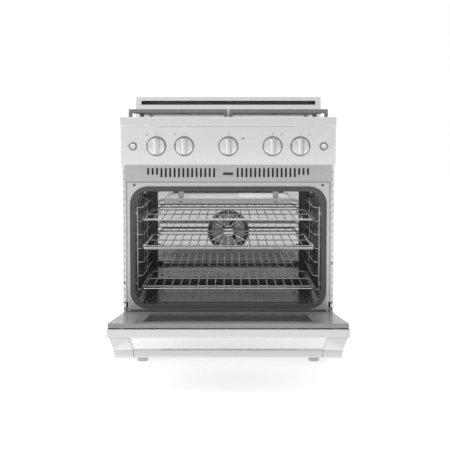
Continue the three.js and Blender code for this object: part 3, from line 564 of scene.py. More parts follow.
def flangeBacking():
    # foil strips behind the flange slots, and dark strips in the gap beside the oven front that paint the shade
    # there
    foils, gaps = bmesh.new(), bmesh.new()
    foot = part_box("oven_front_frame")[0].z + flangeFoil["overHinge"]
    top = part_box("vent_trim")[1].z - flangeFoil["underPanel"]
    for side, sign in sides.items():
        low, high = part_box(f"side_panel_{side}")
        inner, outer = sorted((abs(low.x), abs(high.x)))
        front = low.y + flangeFoil["inset"]
        spans = ((foils, inner + flangeFoil["gap"], outer - flangeFoil["inset"]),
                 (gaps, inner - flangeFoil["past"], inner))
        for bm, near, far in spans:
            x0, x1 = sorted((sign * near, sign * far))
            blockShape(bm, (x0, front, foot), (x1, front + flangeFoil["thick"], top), 0.2 * mm, 1)
    finishPiece("flangeFoils", foils, "shadeDarkVentSheet", "plain_steel")
    # painted shade: the gap strips are dark steel standing in for the shaded gap beside the oven front
    finishPiece("sideGapShadeStrips", gaps, "paintedShadeSteel", "plain_steel")


backSheet = {"border": 40 * mm, "ribs": 6, "ribHeight": 34 * mm, "ribDepth": 2.6 * mm, "ribEdge": 7 * mm,
             "screwsAcross": 6, "screwsUp": 5, "screwSize": 1.5, "screwX": 14 * mm, "screwZ": 12 * mm}


def backPanel():
    # pressed sheet: long shallow ribs, and screws round the edge
    low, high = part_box("back_panel")
    half = high.x - backSheet["border"]
    bm = bmesh.new()
    blockShape(bm, low, high)
    bmesh.ops.recalc_face_normals(bm, faces=bm.faces)
    rise = (high.z - low.z) / backSheet["ribs"]
    for level in range(backSheet["ribs"] + 1):
        for offset in (-backSheet["ribHeight"] / 2, backSheet["ribHeight"] / 2):
            cut = low.z + rise * (level + 0.5) + offset
            if low.z < cut < high.z:
                cutAcross(bm, (0, 0, cut), (0, 0, 1))
    for x in (low.x + backSheet["border"], half):
        cutAcross(bm, (x, 0, 0), (1, 0, 0))
    ribs = [f for f in bm.faces if f.normal.y > 0.9 and abs(f.calc_center_median().x) < half
            and abs(f.calc_area() - backSheet["ribHeight"] * 2 * half) < 1e-4]
    bmesh.ops.inset_individual(bm, faces=ribs, thickness=backSheet["ribEdge"], depth=-backSheet["ribDepth"])
    softenEdges(bm, 0.4 * mm, 2, 12)
    x0, x1 = low.x + backSheet["screwX"], high.x - backSheet["screwX"]
    z0, z1 = low.z + backSheet["screwZ"], high.z - backSheet["screwZ"]
    across, up = backSheet["screwsAcross"], backSheet["screwsUp"]
    places = [(x0 + i * (x1 - x0) / (across - 1), z) for i in range(across) for z in (z0, z1)]
    places += [(x, z0 + (i + 1) * (z1 - z0) / (up + 1)) for i in range(up) for x in (x0, x1)]
    for x, z in places:
        screwHead(bm, (x, high.y - screw["height"] * backSheet["screwSize"], z), "back", backSheet["screwSize"])
    finishPiece(pieceName("back_panel"), bm, "plainSteel", "plain_steel", "back_panel")


leg = {"cup": 20 * mm, "cupHeight": 24 * mm, "groove": 12 * mm, "neck": 17 * mm, "steps": 40}


def levellingLeg(node):
    # a turned cup with a groove to grip, under the neck it screws up into
    low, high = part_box(node)
    centre = (low + high) / 2
    top = high.z - low.z
    cup, tall, groove, neck = (leg[key] for key in ("cup", "cupHeight", "groove", "neck"))
    bm = bmesh.new()
    spunShape(bm, [
        (0, 0), (cup - 2 * mm, 0), (cup - 0.7 * mm, 0.6 * mm), (cup, 2 * mm), (cup, groove - 0.6 * mm),
        (cup - 0.9 * mm, groove), (cup - 0.9 * mm, groove + 1.6 * mm), (cup, groove + 2.2 * mm),
        (cup, tall - 0.6 * mm), (cup - 0.7 * mm, tall + 0.6 * mm), (neck, tall + 2 * mm), (neck, top), (0, top),
    ], (centre.x, centre.y, low.z), "up", leg["steps"])
    finishPiece(pieceName(node), bm, "legSteel", "brushed_steel", node)


for side in sides:
    sidePanel(side)
    for end in ("front", "back"):
        levellingLeg(f"leg_{end}_{side}")
flangeBacking()
backPanel()
dressNode("base_pan", "plainSteel", "plain_steel", sheetEdge)
dressNode("kick_panel", "brushedAcross", "brushed_steel", sheetEdge)
print("cabinet built")


# Oven

# a thin black strip under the vent trim, a painted shadow of the gap between trim and frame
trimShadowStrip = {"height": 1.8 * mm, "side": 1 * mm, "proud": 0.5 * mm, "behind": 0.3 * mm, "under": 0.1 * mm}
# a dark enamel strip across the frame below the gasket, painted shade
doorSill = {"reach": 352 * mm, "thick": 0.7 * mm, "edge": 2 * mm}
bumper = {"x": 337 * mm, "z": 643 * mm, "radius": 4.6 * mm, "height": 3 * mm}


def ovenFront():
    low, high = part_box("oven_front_frame")
    dressNode("oven_front_frame", "satinFrame", "brushed_steel", 0.5 * mm, name="ovenFront")
    # painted shadow: a black strip along the frame's top edge, just under the vent trim
    bm = bmesh.new()
    blockShape(bm, (low.x + trimShadowStrip["side"], low.y - trimShadowStrip["proud"], high.z - trimShadowStrip["height"]),
               (high.x - trimShadowStrip["side"], low.y + trimShadowStrip["behind"], high.z - trimShadowStrip["under"]), 0.2 * mm, 1)
    finishPiece("trimShadowStrip", bm, "channelBlack", "gasket_rubber")
    # painted shade: a dark enamel strip over the bottom of the frame, below the gasket
    bm = bmesh.new()
    blockShape(bm, (-doorSill["reach"], low.y - doorSill["thick"], low.z + doorSill["edge"]),
               (doorSill["reach"], low.y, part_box("cavity_gasket")[0].z - doorSill["edge"]), 0.2 * mm)
    finishPiece("doorSill", bm, "cavityEnamel", "dark_enamel")
    bm = bmesh.new()
    radius, height = bumper["radius"], bumper["height"]
    for sign in sides.values():
        spunShape(bm, [(0, height), (radius * 0.5, height), (radius * 0.9, height * 0.6), (radius, 0), (0, 0)],
                  (sign * bumper["x"], low.y, bumper["z"]), "front", 24)
    finishPiece("doorBumpers", bm, "darkPlastic", "gasket_rubber")


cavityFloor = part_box("oven_cavity")[0].z + 1.5 * mm
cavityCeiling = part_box("oven_cavity")[1].z - 1.5 * mm
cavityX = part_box("oven_cavity")[1].x - 1.5 * mm
lamp = {"radius": 27 * mm, "rim": 5 * mm, "height": 9 * mm, "y": 400 * mm, "belowCeiling": 52 * mm}
probe = {"radius": 2.2 * mm, "length": 120 * mm, "x": -262 * mm, "belowCeiling": 40 * mm,
         "plate": (14 * mm, 8 * mm), "plateThick": 1.6 * mm, "screwAway": 9 * mm}
floorSteps = {"count": 3, "pitch": 16 * mm, "height": 2.6 * mm, "reach": 262 * mm, "start": 14 * mm,
              "panelIn": 70 * mm, "panelHeight": 4 * mm, "lift": 0.2 * mm}


def ovenCavity():
    # the enamelled liner, with steps and a raised panel on its floor
    dressNode("oven_cavity", "cavityEnamel", "dark_enamel", 0.5 * mm, 2, 50)
    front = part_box("oven_cavity")[0].y
    bm = bmesh.new()
    reach, pitch, foot = floorSteps["reach"], floorSteps["pitch"], cavityFloor + floorSteps["lift"]
    for index in range(floorSteps["count"]):
        y = front + floorSteps["start"] + index * pitch
        blockShape(bm, (-reach, y, foot), (reach, y + pitch * 0.5, cavityFloor + floorSteps["height"]), 1 * mm)
    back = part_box("fan_baffle")[0].y - floorSteps["panelIn"]
    blockShape(bm, (-reach, front + floorSteps["panelIn"], foot),
               (reach, back, cavityFloor + floorSteps["panelHeight"]), 1.6 * mm, 3)
    finishPiece("cavityFloorRibs", bm, "cavityEnamel", "dark_enamel")


def ovenLamps():
    # a rim and a domed lens on each side wall
    rims, lenses = bmesh.new(), bmesh.new()
    radius, height = lamp["radius"], lamp["height"]
    hole = radius - lamp["rim"]
    for side, sign in sides.items():
        place = (sign * cavityX, lamp["y"], cavityCeiling - lamp["belowCeiling"])
        way = "left" if side == "right" else "right"
        spunShape(rims, [
            (hole, 0.4 * mm), (radius, 0.4 * mm), (radius, height * 0.5), (radius - 1.5 * mm, height * 0.7),
            (hole, height * 0.7), (hole, 0.4 * mm),
        ], place, way, 40)
        spunShape(lenses, [
            (0, height), (radius * 0.35, height * 0.95), (radius * 0.65, height * 0.78),
            (hole - 0.2 * mm, height * 0.5), (hole - 0.2 * mm, 0.5 * mm), (0, 0.5 * mm),
        ], place, way, 40)
    finishPiece("lampRims", rims, "chromeWire", "polished_steel")
    finishPiece("lampLenses", lenses, "lampGlass", "lamp_lens", smoothBelow=60)


def ovenProbe():
    # a thermometer rod that stands out of the back wall on its plate
    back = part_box("fan_baffle")[0].y
    x, z = probe["x"], cavityCeiling - probe["belowCeiling"]
    bm = bmesh.new()
    bentWire(bm, [(x, back - probe["length"], z - 6 * mm), (x, back - 20 * mm, z), (x, back, z)],
             probe["radius"], 12 * mm)
    wide, tall = probe["plate"]
    front = back - probe["plateThick"]
    blockShape(bm, (x - wide, front, z - tall), (x + wide, back - 0.2 * mm, z + tall), 0.5 * mm)
    for offset in (-probe["screwAway"], probe["screwAway"]):
        screwHead(bm, (x + offset, front, z), "front", 0.7)
    finishPiece("heatProbe", bm, "chromeWire", "polished_steel")


fan = {"guardReach": 84.5 * mm, "ringWire": 1.3 * mm, "rings": (26, 42, 58, 74), "trim": 2.6 * mm,
       "trimReach": 83 * mm, "screwReach": 272 * mm, "screwIn": 16 * mm}


def wireRing(bm, radius, wire, around, place, steps):
    section = [math.tau * i / around for i in range(around + 1)]
    spunShape(bm, [(radius + wire * math.cos(a), wire * math.sin(a)) for a in section], place, "front", steps)


def fanCover():
    low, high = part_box("fan_baffle")
    shaft = middleOf("fan_blade")
    bm = fromNode("fan_baffle")
    softenEdges(bm, 0.45 * mm, 2)
    for face in bm.faces:
        overFan = all(math.hypot(v.co.x, v.co.z - shaft.z) < fan["guardReach"] for v in face.verts)
        face.material_index = 1 if overFan else 0
    cover = finishPiece("fanCover", bm, "polishedSheet", "polished_steel", "fan_baffle")
    cover.data.materials.append(finishes["shadeDarkVentSheet"])
    bm = bmesh.new()
    for radius in fan["rings"]:
        wireRing(bm, radius * mm, fan["ringWire"], 8, (0, low.y - fan["ringWire"], shaft.z), 48)
    wireRing(bm, fan["trimReach"], fan["trim"], 10, (0, low.y, shaft.z), 64)
    finishPiece("fanGuardRings", bm, "ladderWire", "polished_steel", smoothBelow=70)
    bm = bmesh.new()
    for x in (-fan["screwReach"], 0, fan["screwReach"]):
        for z in (low.z + fan["screwIn"], high.z - fan["screwIn"]):
            screwHead(bm, (x, low.y, z), "front", 1.2)
    finishPiece("fanCoverScrews", bm, "plainSteel", "plain_steel")
    dressNode("fan_blade", "satinFrame", "plain_steel", 0.35 * mm, 1, name="fanWheel", body="fan")


broil = {"tray": 30 * mm, "deckDrop": 11 * mm, "screwX": 174 * mm, "screwDown": 10 * mm, "tileInset": 14 * mm,
         "tileUp": 12 * mm, "padLeft": 40 * mm, "padRight": 226 * mm, "padFront": 30 * mm,
         "padLength": 230 * mm, "padThick": 2 * mm}


def broilBurner():
    # a shallow tray with a fibre deck and pad on top, and a burner tile under it
    low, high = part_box("broil_burner")
    bm = fromNode("broil_burner")
    deck = low.z + broil["tray"]
    for v in bm.verts:
        if deck - 2 * mm < v.co.z < deck + 1 * mm:
            v.co.z -= broil["deckDrop"]
    softenEdges(bm, 0.6 * mm, 2)
    trayTop = deck - broil["deckDrop"]
    for x in (-broil["screwX"], broil["screwX"]):
        screwHead(bm, (x, low.y, trayTop - broil["screwDown"]), "front", 1.6)
    for face in bm.faces:
        onTop = face.normal.z > 0.9 and abs(face.calc_center_median().z - trayTop) < 1 * mm
        face.material_index = 1 if onTop else 0
    tray = finishPiece("broilReflector", bm, "broilSheet", "plain_steel", "broil_burner")
    tray.data.materials.append(finishes["fibreBoard"])
    bm = bmesh.new()
    blockShape(bm, (broil["padLeft"], low.y + broil["padFront"], trayTop + 0.1 * mm),
               (broil["padRight"], low.y + broil["padFront"] + broil["padLength"], trayTop + broil["padThick"]),
               0.6 * mm, 2)
    finishPiece("broilPad", bm, "ceramic", "burner_alloy")
    inset = broil["tileInset"]
    bm = bmesh.new()
    plate = bmesh.ops.create_grid(bm, x_segments=56, y_segments=34, size=0.5)["verts"]
    bmesh.ops.scale(bm, vec=(high.x - low.x - 2 * inset, high.y - low.y - 2 * inset, 1), verts=plate)
    bmesh.ops.translate(bm, verts=plate, vec=(0, (low.y + high.y) / 2, low.z + broil["tileUp"]))
    bmesh.ops.inset_individual(bm, faces=bm.faces[:], thickness=1.6 * mm, depth=1.2 * mm)
    finishPiece("broilTile", bm, "castIron", "burner_alloy")


ovenFront()
dressNode("cavity_gasket", "gasketWeave", "gasket_rubber", 2.3 * mm, 4, 50, name="gasket", smoothBelow=60)
ovenCavity()
ovenLamps()
ovenProbe()
fanCover()
broilBurner()
print("oven built")


# Racks and side ladders

rack = {"wire": 2.5 * mm, "rod": 2.0 * mm, "corner": 16 * mm, "pitch": 32.2 * mm, "rods": 20,
        "innerRail": 64 * mm, "midRail": 240 * mm, "stopInset": 36 * mm, "stopBend": 8 * mm,
        "stopRise": 14.5 * mm, "stopFoot": 12 * mm,
        "railWidth": 9 * mm, "railHeight": 11 * mm, "railIn": 7 * mm, "frontIn": 12 * mm}


def wireRack(level, sliding):
    node = f"rack_{level}"
    low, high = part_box(node)
    wire, rod = rack["wire"], rack["rod"]
    x0, x1 = low.x + wire, high.x - wire
    y0, y1 = low.y + wire, high.y - wire
    z = high.z - rack["stopRise"]     # the deck, under the raised stop
    bm = bmesh.new()
    bentWire(bm, [(0, y0, z), (x1, y0, z), (x1, y1, z), (x0, y1, z), (x0, y0, z), (0, y0, z)],
             wire, rack["corner"], closed=True)
    for reach in (rack["innerRail"], rack["midRail"]):
        bentWire(bm, [(x0, y0 + reach, z - rod), (x1, y0 + reach, z - rod)], wire * 0.9)
    stopX, stopZ = high.x - rack["stopInset"] - wire, high.z - wire
    bentWire(bm, [(-stopX, y1 - rack["stopFoot"], z), (-stopX, y1, z), (-stopX, y1, stopZ), (stopX, y1, stopZ),
                  (stopX, y1, z), (stopX, y1 - rack["stopFoot"], z)], wire, rack["stopBend"])
    half = rack["rods"] / 2
    for index in range(rack["rods"]):
        x = (index - half + 0.5) * rack["pitch"]
        bentWire(bm, [(x, y0, z + 0.3 * mm), (x, y1, z + 0.3 * mm)], rod, around=8)
    bmesh.ops.remove_doubles(bm, verts=bm.verts, dist=0.002 * mm)
    finishPiece(pieceName(node), bm, "chromeWire", "polished_steel", node, body=node, smoothBelow=50)
    if sliding:
        slideRails(node, low, high, z)


def slideRails(node, low, high, z):
    # folded channels that carry the pull-out rack, and the second wire along its front
    bm = bmesh.new()
    for sign in sides.values():
        outer = sign * (high.x - rack["railIn"])
        inner = outer - sign * rack["railWidth"]
        blockShape(bm, (min(outer, inner), low.y + 26 * mm, z - 1 * mm),
                   (max(outer, inner), high.y - 60 * mm, z + rack["railHeight"] - 2 * mm), 1.4 * mm, 3)
        for y in (low.y + 60 * mm, high.y - 100 * mm):
            screwHead(bm, ((outer + inner) / 2, y, z + rack["railHeight"] - 2 * mm), "up", 0.9)
    wire = rack["wire"] * 0.9
    x, y, foot, head = high.x - rack["frontIn"], low.y + wire, low.z + wire, z - 1 * mm
    bentWire(bm, [(-x, y, head), (-x, y, foot), (x, y, foot), (x, y, head)], wire, 5 * mm)
    finishPiece("rackSlideRails", bm, "brushedAcross", "polished_steel", body=node)


ladder = {"wire": 2.5 * mm, "post": 3 * mm, "bend": 9 * mm, "rungs": 7, "pitch": 50 * mm,
          "clipIn": 24 * mm, "clipThick": 4.2 * mm, "clipHalf": (6 * mm, 7 * mm)}


def wireLadder(side):
    node = f"rack_ladder_{side}"
    low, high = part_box(node)
    sign = sides[side]
    wall = sign * (max(abs(low.x), abs(high.x)) - ladder["post"])
    inner = sign * (min(abs(low.x), abs(high.x)) + ladder["wire"])
    y0, y1 = low.y + ladder["post"], high.y - ladder["post"]
    deep, tall = ladder["clipHalf"]
    bm = bmesh.new()
    for y in (y0, y1):
        bentWire(bm, [(wall, y, low.z), (wall, y, high.z)], ladder["post"], around=12)
    for rung in range(ladder["rungs"]):
        z = low.z + ladder["wire"] + rung * ladder["pitch"]
        bentWire(bm, [(wall, y0, z), (inner, y0, z), (inner, y1, z), (wall, y1, z)], ladder["wire"],
                 ladder["bend"])
    for y in (y0, y1):
        for z in (low.z + ladder["clipIn"], high.z - ladder["clipIn"]):
            x0, x1 = sorted((wall, wall + sign * ladder["clipThick"]))
            blockShape(bm, (x0, y - deep, z - tall), (x1, y + deep, z + tall), 0.8 * mm)
    finishPiece(pieceName(node), bm, "ladderWire", "polished_steel", node, smoothBelow=50)


for level in ("lower", "middle", "upper"):
    wireRack(level, level == "middle")
for side in sides:
    wireLadder(side)
print("racks built")


# Front panels and controls

def ventTrim():
    low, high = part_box("vent_trim")
    end, edge = slotCut["fromEnd"], slotCut["ventEdge"]
    bm = fromNode("vent_trim")
    roundSlots(bm, slotCut["ventRadius"], acrossSheet, slotCut["shorterThan"],
               lambda p: low.z + end < p.z < high.z - end and abs(p.x) < high.x - edge)
    softenEdges(bm, 0.5 * mm, 1)
    # the trim's darker steel is painted shade from the control panel's overhang
    finishPiece("ventTrim", bm, "shadeDarkVentSheet", "brushed_steel", "vent_trim")


ventShroud = {"reach": 330 * mm, "behind": 5 * mm, "thick": 1 * mm, "edge": 4 * mm}


def ventDuct():
    # a dark duct wall close behind the slots
    low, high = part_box("vent_trim")
    back = high.y + ventShroud["behind"]
    bm = bmesh.new()
    blockShape(bm, (-ventShroud["reach"], back, low.z + ventShroud["edge"]),
               (ventShroud["reach"], back + ventShroud["thick"], high.z - ventShroud["edge"]), 0.3 * mm)
    finishPiece("ventDuct", bm, "channelBlack", "plain_steel")


badge = {"width": 38 * mm, "height": 10 * mm, "depth": 1.4 * mm, "x": -1 * mm, "z": 684 * mm}


def plainBadge():
    # a blank oval plate between the two rows of slots
    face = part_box("vent_trim")[0].y
    bm = bmesh.new()
    corners = bmesh.ops.create_grid(bm, x_segments=1, y_segments=1, size=0.5)["verts"]
    place = Matrix.Translation((badge["x"], face - badge["depth"], badge["z"]))
    size = Matrix.Diagonal((badge["width"], badge["height"], 1, 1))
    bmesh.ops.transform(bm, matrix=place @ facing["front"] @ size, verts=corners)
    bmesh.ops.bevel(bm, geom=list(corners[0].link_faces[0].verts), offset=badge["height"] * 0.48,
                    offset_type="OFFSET", segments=10, profile=0.5, affect="VERTICES", material=-1)
    grown = bmesh.ops.extrude_face_region(bm, geom=bm.faces[:])["geom"]
    bmesh.ops.translate(bm, verts=newestEdges(grown)[0], vec=(0, badge["depth"], 0))
    bmesh.ops.recalc_face_normals(bm, faces=bm.faces)
    softenEdges(bm, 0.35 * mm, 2, 50)
    finishPiece("plainBadge", bm, "darkPlastic", "plain_steel")


knob = {"chamfer": 1.6 * mm, "discDepth": 9 * mm, "gripEdge": 9.5 * mm, "gripFoot": 29 * mm,
        "gripFace": 21 * mm, "gripHeight": 57 * mm, "pointer": (1.6 * mm, 11 * mm), "pointerUp": 13 * mm,
        "bezelOut": 35.6 * mm, "bezelIn": 31.2 * mm, "bezelDepth": 2.8 * mm}
knobPlaces = ("left_front", "left_rear", "oven", "right_rear", "right_front")


def controlKnob(place):
    # a turned disc with a tapered grip bar across it
    node = f"knob_{place}"
    low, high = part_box(node)
    centre = (low + high) / 2
    radius = (high.z - low.z) / 2
    chamfer = knob["chamfer"]
    bm = bmesh.new()
    spunShape(bm, [
        (0, 0), (radius - chamfer, 0), (radius, chamfer), (radius, knob["discDepth"] - chamfer),
        (radius - chamfer * 0.6, knob["discDepth"] - chamfer * 0.25),
        (radius - chamfer * 2, knob["discDepth"]), (0, knob["discDepth"]),
    ], (centre.x, high.y, centre.z), "front", 64)
    foot, face = high.y - knob["discDepth"] + 0.5 * mm, low.y
    matrix = Matrix.Translation((centre.x, (foot + face) / 2, centre.z)) @ Matrix.Diagonal(
        (knob["gripFoot"], foot - face, knob["gripHeight"], 1))
    grip = bmesh.ops.create_cube(bm, size=1, matrix=matrix)["verts"]
    front = [v for v in grip if v.co.y < (foot + face) / 2]
    bmesh.ops.scale(bm, vec=(knob["gripFace"] / knob["gripFoot"], 1, 0.93), verts=front,
                    space=Matrix.Translation((-centre.x, -face, -centre.z)))
    long = [e for e in {e for v in front for e in v.link_edges}
            if abs(e.verts[0].co.z - e.verts[1].co.z) > knob["gripFace"]]
    roundEdges(bm, long, knob["gripEdge"], 10)
    softenEdges(bm, 0.8 * mm, 2, 50)
    finishPiece(pieceName(node), bm, "knobSteel", "brushed_steel", node, body=node)
    wide, tall = knob["pointer"]
    bm = bmesh.new()
    blockShape(bm, (centre.x - wide / 2, face - 0.12 * mm, centre.z + knob["pointerUp"]),
               (centre.x + wide / 2, face + 0.4 * mm, centre.z + knob["pointerUp"] + tall), 0.1 * mm, 1)
    finishPiece(pieceName(f"pointer_{place}"), bm, "printedMark", "brushed_steel", body=node)


def knobBezels():
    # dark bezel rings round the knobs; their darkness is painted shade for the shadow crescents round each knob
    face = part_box("control_panel")[0].y
    bm = bmesh.new()
    for place in knobPlaces:
        centre = middleOf(f"knob_{place}")
        outer, inner, depth = knob["bezelOut"], knob["bezelIn"], knob["bezelDepth"]
        spunShape(bm, [
            (inner, -0.4 * mm), (outer, -0.4 * mm), (outer, depth * 0.35), (outer - 0.8 * mm, depth * 0.8),
            (outer - 1.8 * mm, depth), (inner + 0.5 * mm, depth), (inner, depth * 0.8), (inner, -0.4 * mm),
        ], (centre.x, face, centre.z), "front", 64)
    finishPiece("knobBezels", bm, "paintedShadeSteel", "brushed_steel")


mark = {"depth": 0.12 * mm, "foot": -0.2 * mm, "tick": (1.7 * mm, 11 * mm), "tickAbove": 38 * mm,
        "dot": 1.9 * mm, "pitch": 5.4 * mm, "side": 31 * mm, "up": 41 * mm, "ring": (1.6 * mm, 3 * mm),
        "ringAway": 19 * mm}


def panelMarks():
    # ticks over the knobs, four-dot burner signs beside them, and small signs by the buttons
    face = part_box("control_panel")[0].y
    bm = bmesh.new()
    depth, foot = mark["depth"], mark["foot"]
    chosen = {"left_front": (0, 0), "left_rear": (0, 1), "right_rear": (1, 1), "right_front": (1, 0)}
    for place in knobPlaces:
        centre = middleOf(f"knob_{place}")
        wide, tall = mark["tick"]
        z = centre.z + mark["tickAbove"]
        blockShape(bm, (centre.x - wide / 2, face - depth, z), (centre.x + wide / 2, face - foot, z + tall),
                   0.05 * mm, 1)
        if place in chosen:
            across = -1 if place.startswith("left") else 1
            for column in (0, 1):
                for row in (0, 1):
                    size = mark["dot"] * (1.5 if (column, row) == chosen[place] else 0.8)
                    at = (centre.x + across * mark["side"] + (column - 0.5) * mark["pitch"], face,
                          centre.z + mark["up"] + (row - 0.5) * mark["pitch"])
                    spunShape(bm, [(0, depth), (size, depth), (size, foot), (0, foot)], at, "front", 12)
    for button, sign in (("light_button", -1), ("fan_button", 1)):
        centre = middleOf(button)
        x = centre.x + sign * mark["ringAway"]
        inner, outer = mark["ring"]
        spunShape(bm, [(inner, foot), (outer, foot), (outer, depth), (inner, depth), (inner, foot)],
                  (x, face, centre.z), "front", 20)
    finishPiece("panelMarks", bm, "printedMark", "brushed_steel")


button = {"dish": 1.1 * mm, "bezelOut": 15.2 * mm, "bezelIn": 10.9 * mm, "bezelDepth": 2.2 * mm}


def pushButton(node):
    low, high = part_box(node)
    centre = (low + high) / 2
    radius, length = (high.x - low.x) / 2, high.y - low.y
    bm = bmesh.new()
    spunShape(bm, [
        (0, 0), (radius, 0), (radius, length - 1.4 * mm), (radius - 0.5 * mm, length - 0.4 * mm),
        (radius - 1.6 * mm, length), (radius * 0.55, length - button["dish"] * 0.6),
        (0, length - button["dish"]),
    ], (centre.x, high.y, centre.z), "front", 40)
    finishPiece(pieceName(node), bm, "brushedAcross", "brushed_steel", node, body=node)


def buttonBezels():
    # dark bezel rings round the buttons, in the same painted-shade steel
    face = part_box("control_panel")[0].y
    bm = bmesh.new()
    for node in ("light_button", "fan_button"):
        centre = middleOf(node)
        outer, inner, depth = button["bezelOut"], button["bezelIn"], button["bezelDepth"]
        spunShape(bm, [
            (inner, -0.4 * mm), (outer, -0.4 * mm), (outer, depth * 0.4), (outer - 1 * mm, depth),
            (inner + 0.6 * mm, depth), (inner, depth * 0.6), (inner, -0.4 * mm),
        ], (centre.x, face, centre.z), "front", 48)
    finishPiece("buttonBezels", bm, "paintedShadeSteel", "brushed_steel")


def indicatorLens():
    low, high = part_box("indicator_lens")
    centre = (low + high) / 2
    radius, length = (high.x - low.x) / 2, high.y - low.y
    bm = bmesh.new()
    spunShape(bm, [
        (0, 0), (radius, 0), (radius, length - 1.6 * mm), (radius * 0.8, length - 0.6 * mm),
        (radius * 0.4, length - 0.1 * mm), (0, length),
    ], (centre.x, high.y, centre.z), "front", 32)
    finishPiece("indicatorLens", bm, "lampGlass", "lamp_lens", "indicator_lens", smoothBelow=60)
    bm = bmesh.new()
    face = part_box("control_panel")[0].y
    spunShape(bm, [
        (radius + 0.2 * mm, -0.3 * mm), (radius + 1.8 * mm, -0.3 * mm), (radius + 1.5 * mm, 0.9 * mm),
        (radius + 0.6 * mm, 1.1 * mm), (radius + 0.2 * mm, -0.3 * mm),
    ], (centre.x, face, centre.z), "front", 32)
    finishPiece("indicatorRim", bm, "chromeWire", "polished_steel")


ventTrim()
ventDuct()
plainBadge()
dressNode("control_panel", "brushedAcross", "brushed_steel", 0.9 * mm, 3, 50)
for place in knobPlaces:
    controlKnob(place)
knobBezels()
panelMarks()
pushButton("light_button")
pushButton("fan_button")
buttonBezels()
indicatorLens()
print("controls built")


# Cooktop

cooktop = {"rim": 16 * mm, "edge": 1.2 * mm}


def cooktopPan():
    # an enamelled well dropped into a steel rim
    low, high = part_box("cooktop_pan")
    bm = fromNode("cooktop_pan")
    softenEdges(bm, cooktop["edge"], 3, 50)
    inner = high.x - cooktop["rim"]
    for face in bm.faces:
        centre = face.calc_center_median()
        inWell = abs(centre.x) < inner and low.y + cooktop["rim"] < centre.y < high.y - cooktop["rim"]
        face.material_index = 1 if inWell and centre.z < high.z - 0.2 * mm else 0
    pan = finishPiece("cooktopPan", bm, "brushedAcross", "dark_enamel", "cooktop_pan")
    pan.data.materials.append(finishes["cooktopEnamel"])


burner = {"ports": 36, "portDepth": 1.4 * mm, "dishRise": 1.6 * mm, "dishWide": 17 * mm, "foot": 12 * mm,
          "skirt": 6 * mm}
burnerPlaces = ("front_left", "front_right", "back_left", "back_right")


def burnerHead(place):
    node = f"burner_head_{place}"
    low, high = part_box(node)
    centre = (low + high) / 2
    outer = (high.x - low.x) / 2
    radius = outer - burner["skirt"]
    foot, top = burner["foot"], high.z - low.z
    bm = bmesh.new()
    spunShape(bm, [
        (0, 0), (16 * mm, 0), (16 * mm, foot), (outer - 0.6 * mm, foot), (outer, foot + 0.6 * mm),
        (outer, foot + 2.4 * mm), (outer - 1.4 * mm, foot + 3.2 * mm), (radius + 0.6 * mm, foot + 4.6 * mm),
        (radius, foot + 5.6 * mm), (radius, top - 1.2 * mm), (radius - 0.8 * mm, top), (0, top),
    ], (centre.x, centre.y, low.z), "up", burner["ports"] * 2)
    bm.faces.ensure_lookup_table()
    level = low.z + foot + 5.6 * mm
    wall = [f for f in bm.faces if abs(f.normal.z) < 0.1 and f.calc_center_median().z > level
            and (f.calc_center_median().xy - centre.xy).length > radius * 0.9]
    bearings = {f: f.calc_center_median() - centre for f in wall}
    wall.sort(key=lambda f: math.atan2(bearings[f].y, bearings[f].x))
    bmesh.ops.inset_individual(bm, faces=wall[::2], thickness=0.9 * mm, depth=-burner["portDepth"])
    finishPiece(pieceName(node), bm, "burnerAlloy", "burner_alloy", node)


def burnerCap(place):
    node = f"burner_cap_{place}"
    low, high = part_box(node)
    centre = (low + high) / 2
    radius, height = (high.x - low.x) / 2, high.z - low.z
    bm = bmesh.new()
    spunShape(bm, [
        (0, 0), (radius - 1.2 * mm, 0), (radius, 1.2 * mm), (radius - 0.2 * mm, height * 0.45),
        (radius - 2 * mm, height * 0.78), (radius * 0.82, height * 0.92), (radius * 0.5, height * 0.98),
        (0, height),
    ], (centre.x, centre.y, low.z), "up", 56)
    finishPiece(pieceName(node), bm, "capEnamel", "cast_iron", node, smoothBelow=45)


def burnerTrims():
    # a pressed ring in the pan round each burner, and the spark electrode beside it
    dishes, posts, tips = bmesh.new(), bmesh.new(), bmesh.new()
    for place in burnerPlaces:
        low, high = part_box(f"burner_head_{place}")
        centre = (low + high) / 2
        radius = (high.x - low.x) / 2
        floor = low.z + burner["foot"] - 0.3 * mm
        wide, rise = burner["dishWide"], burner["dishRise"]
        spunShape(dishes, [
            (radius + 1.5 * mm, 0.1 * mm), (radius + 4 * mm, rise), (radius + wide * 0.6, rise * 0.9),
            (radius + wide, 0.1 * mm), (radius + 1.5 * mm, 0.1 * mm),
        ], (centre.x, centre.y, floor), "up", 56)
        away = Vector((math.copysign(1, -centre.x) * 0.8, -0.6, 0)) * (radius + 1 * mm)
        spot = Vector((centre.x, centre.y, floor)) + away
        spunShape(posts, [
            (0, 0.2 * mm), (4 * mm, 0.2 * mm), (4 * mm, 4 * mm), (2.8 * mm, 5 * mm), (2.8 * mm, 10 * mm),
            (2 * mm, 11 * mm), (0, 11 * mm),
        ], spot, "up", 18)
        spunShape(tips, [(0, 10.5 * mm), (0.9 * mm, 10.5 * mm), (0.9 * mm, 14.5 * mm), (0.3 * mm, 15.5 * mm),
                         (0, 15.5 * mm)], spot, "up", 10)
    finishPiece("burnerDishes", dishes, "cooktopEnamel", "dark_enamel", smoothBelow=60)
    finishPiece("sparkPosts", posts, "ceramic", "burner_alloy")
    finishPiece("sparkTips", tips, "plainSteel", "plain_steel")


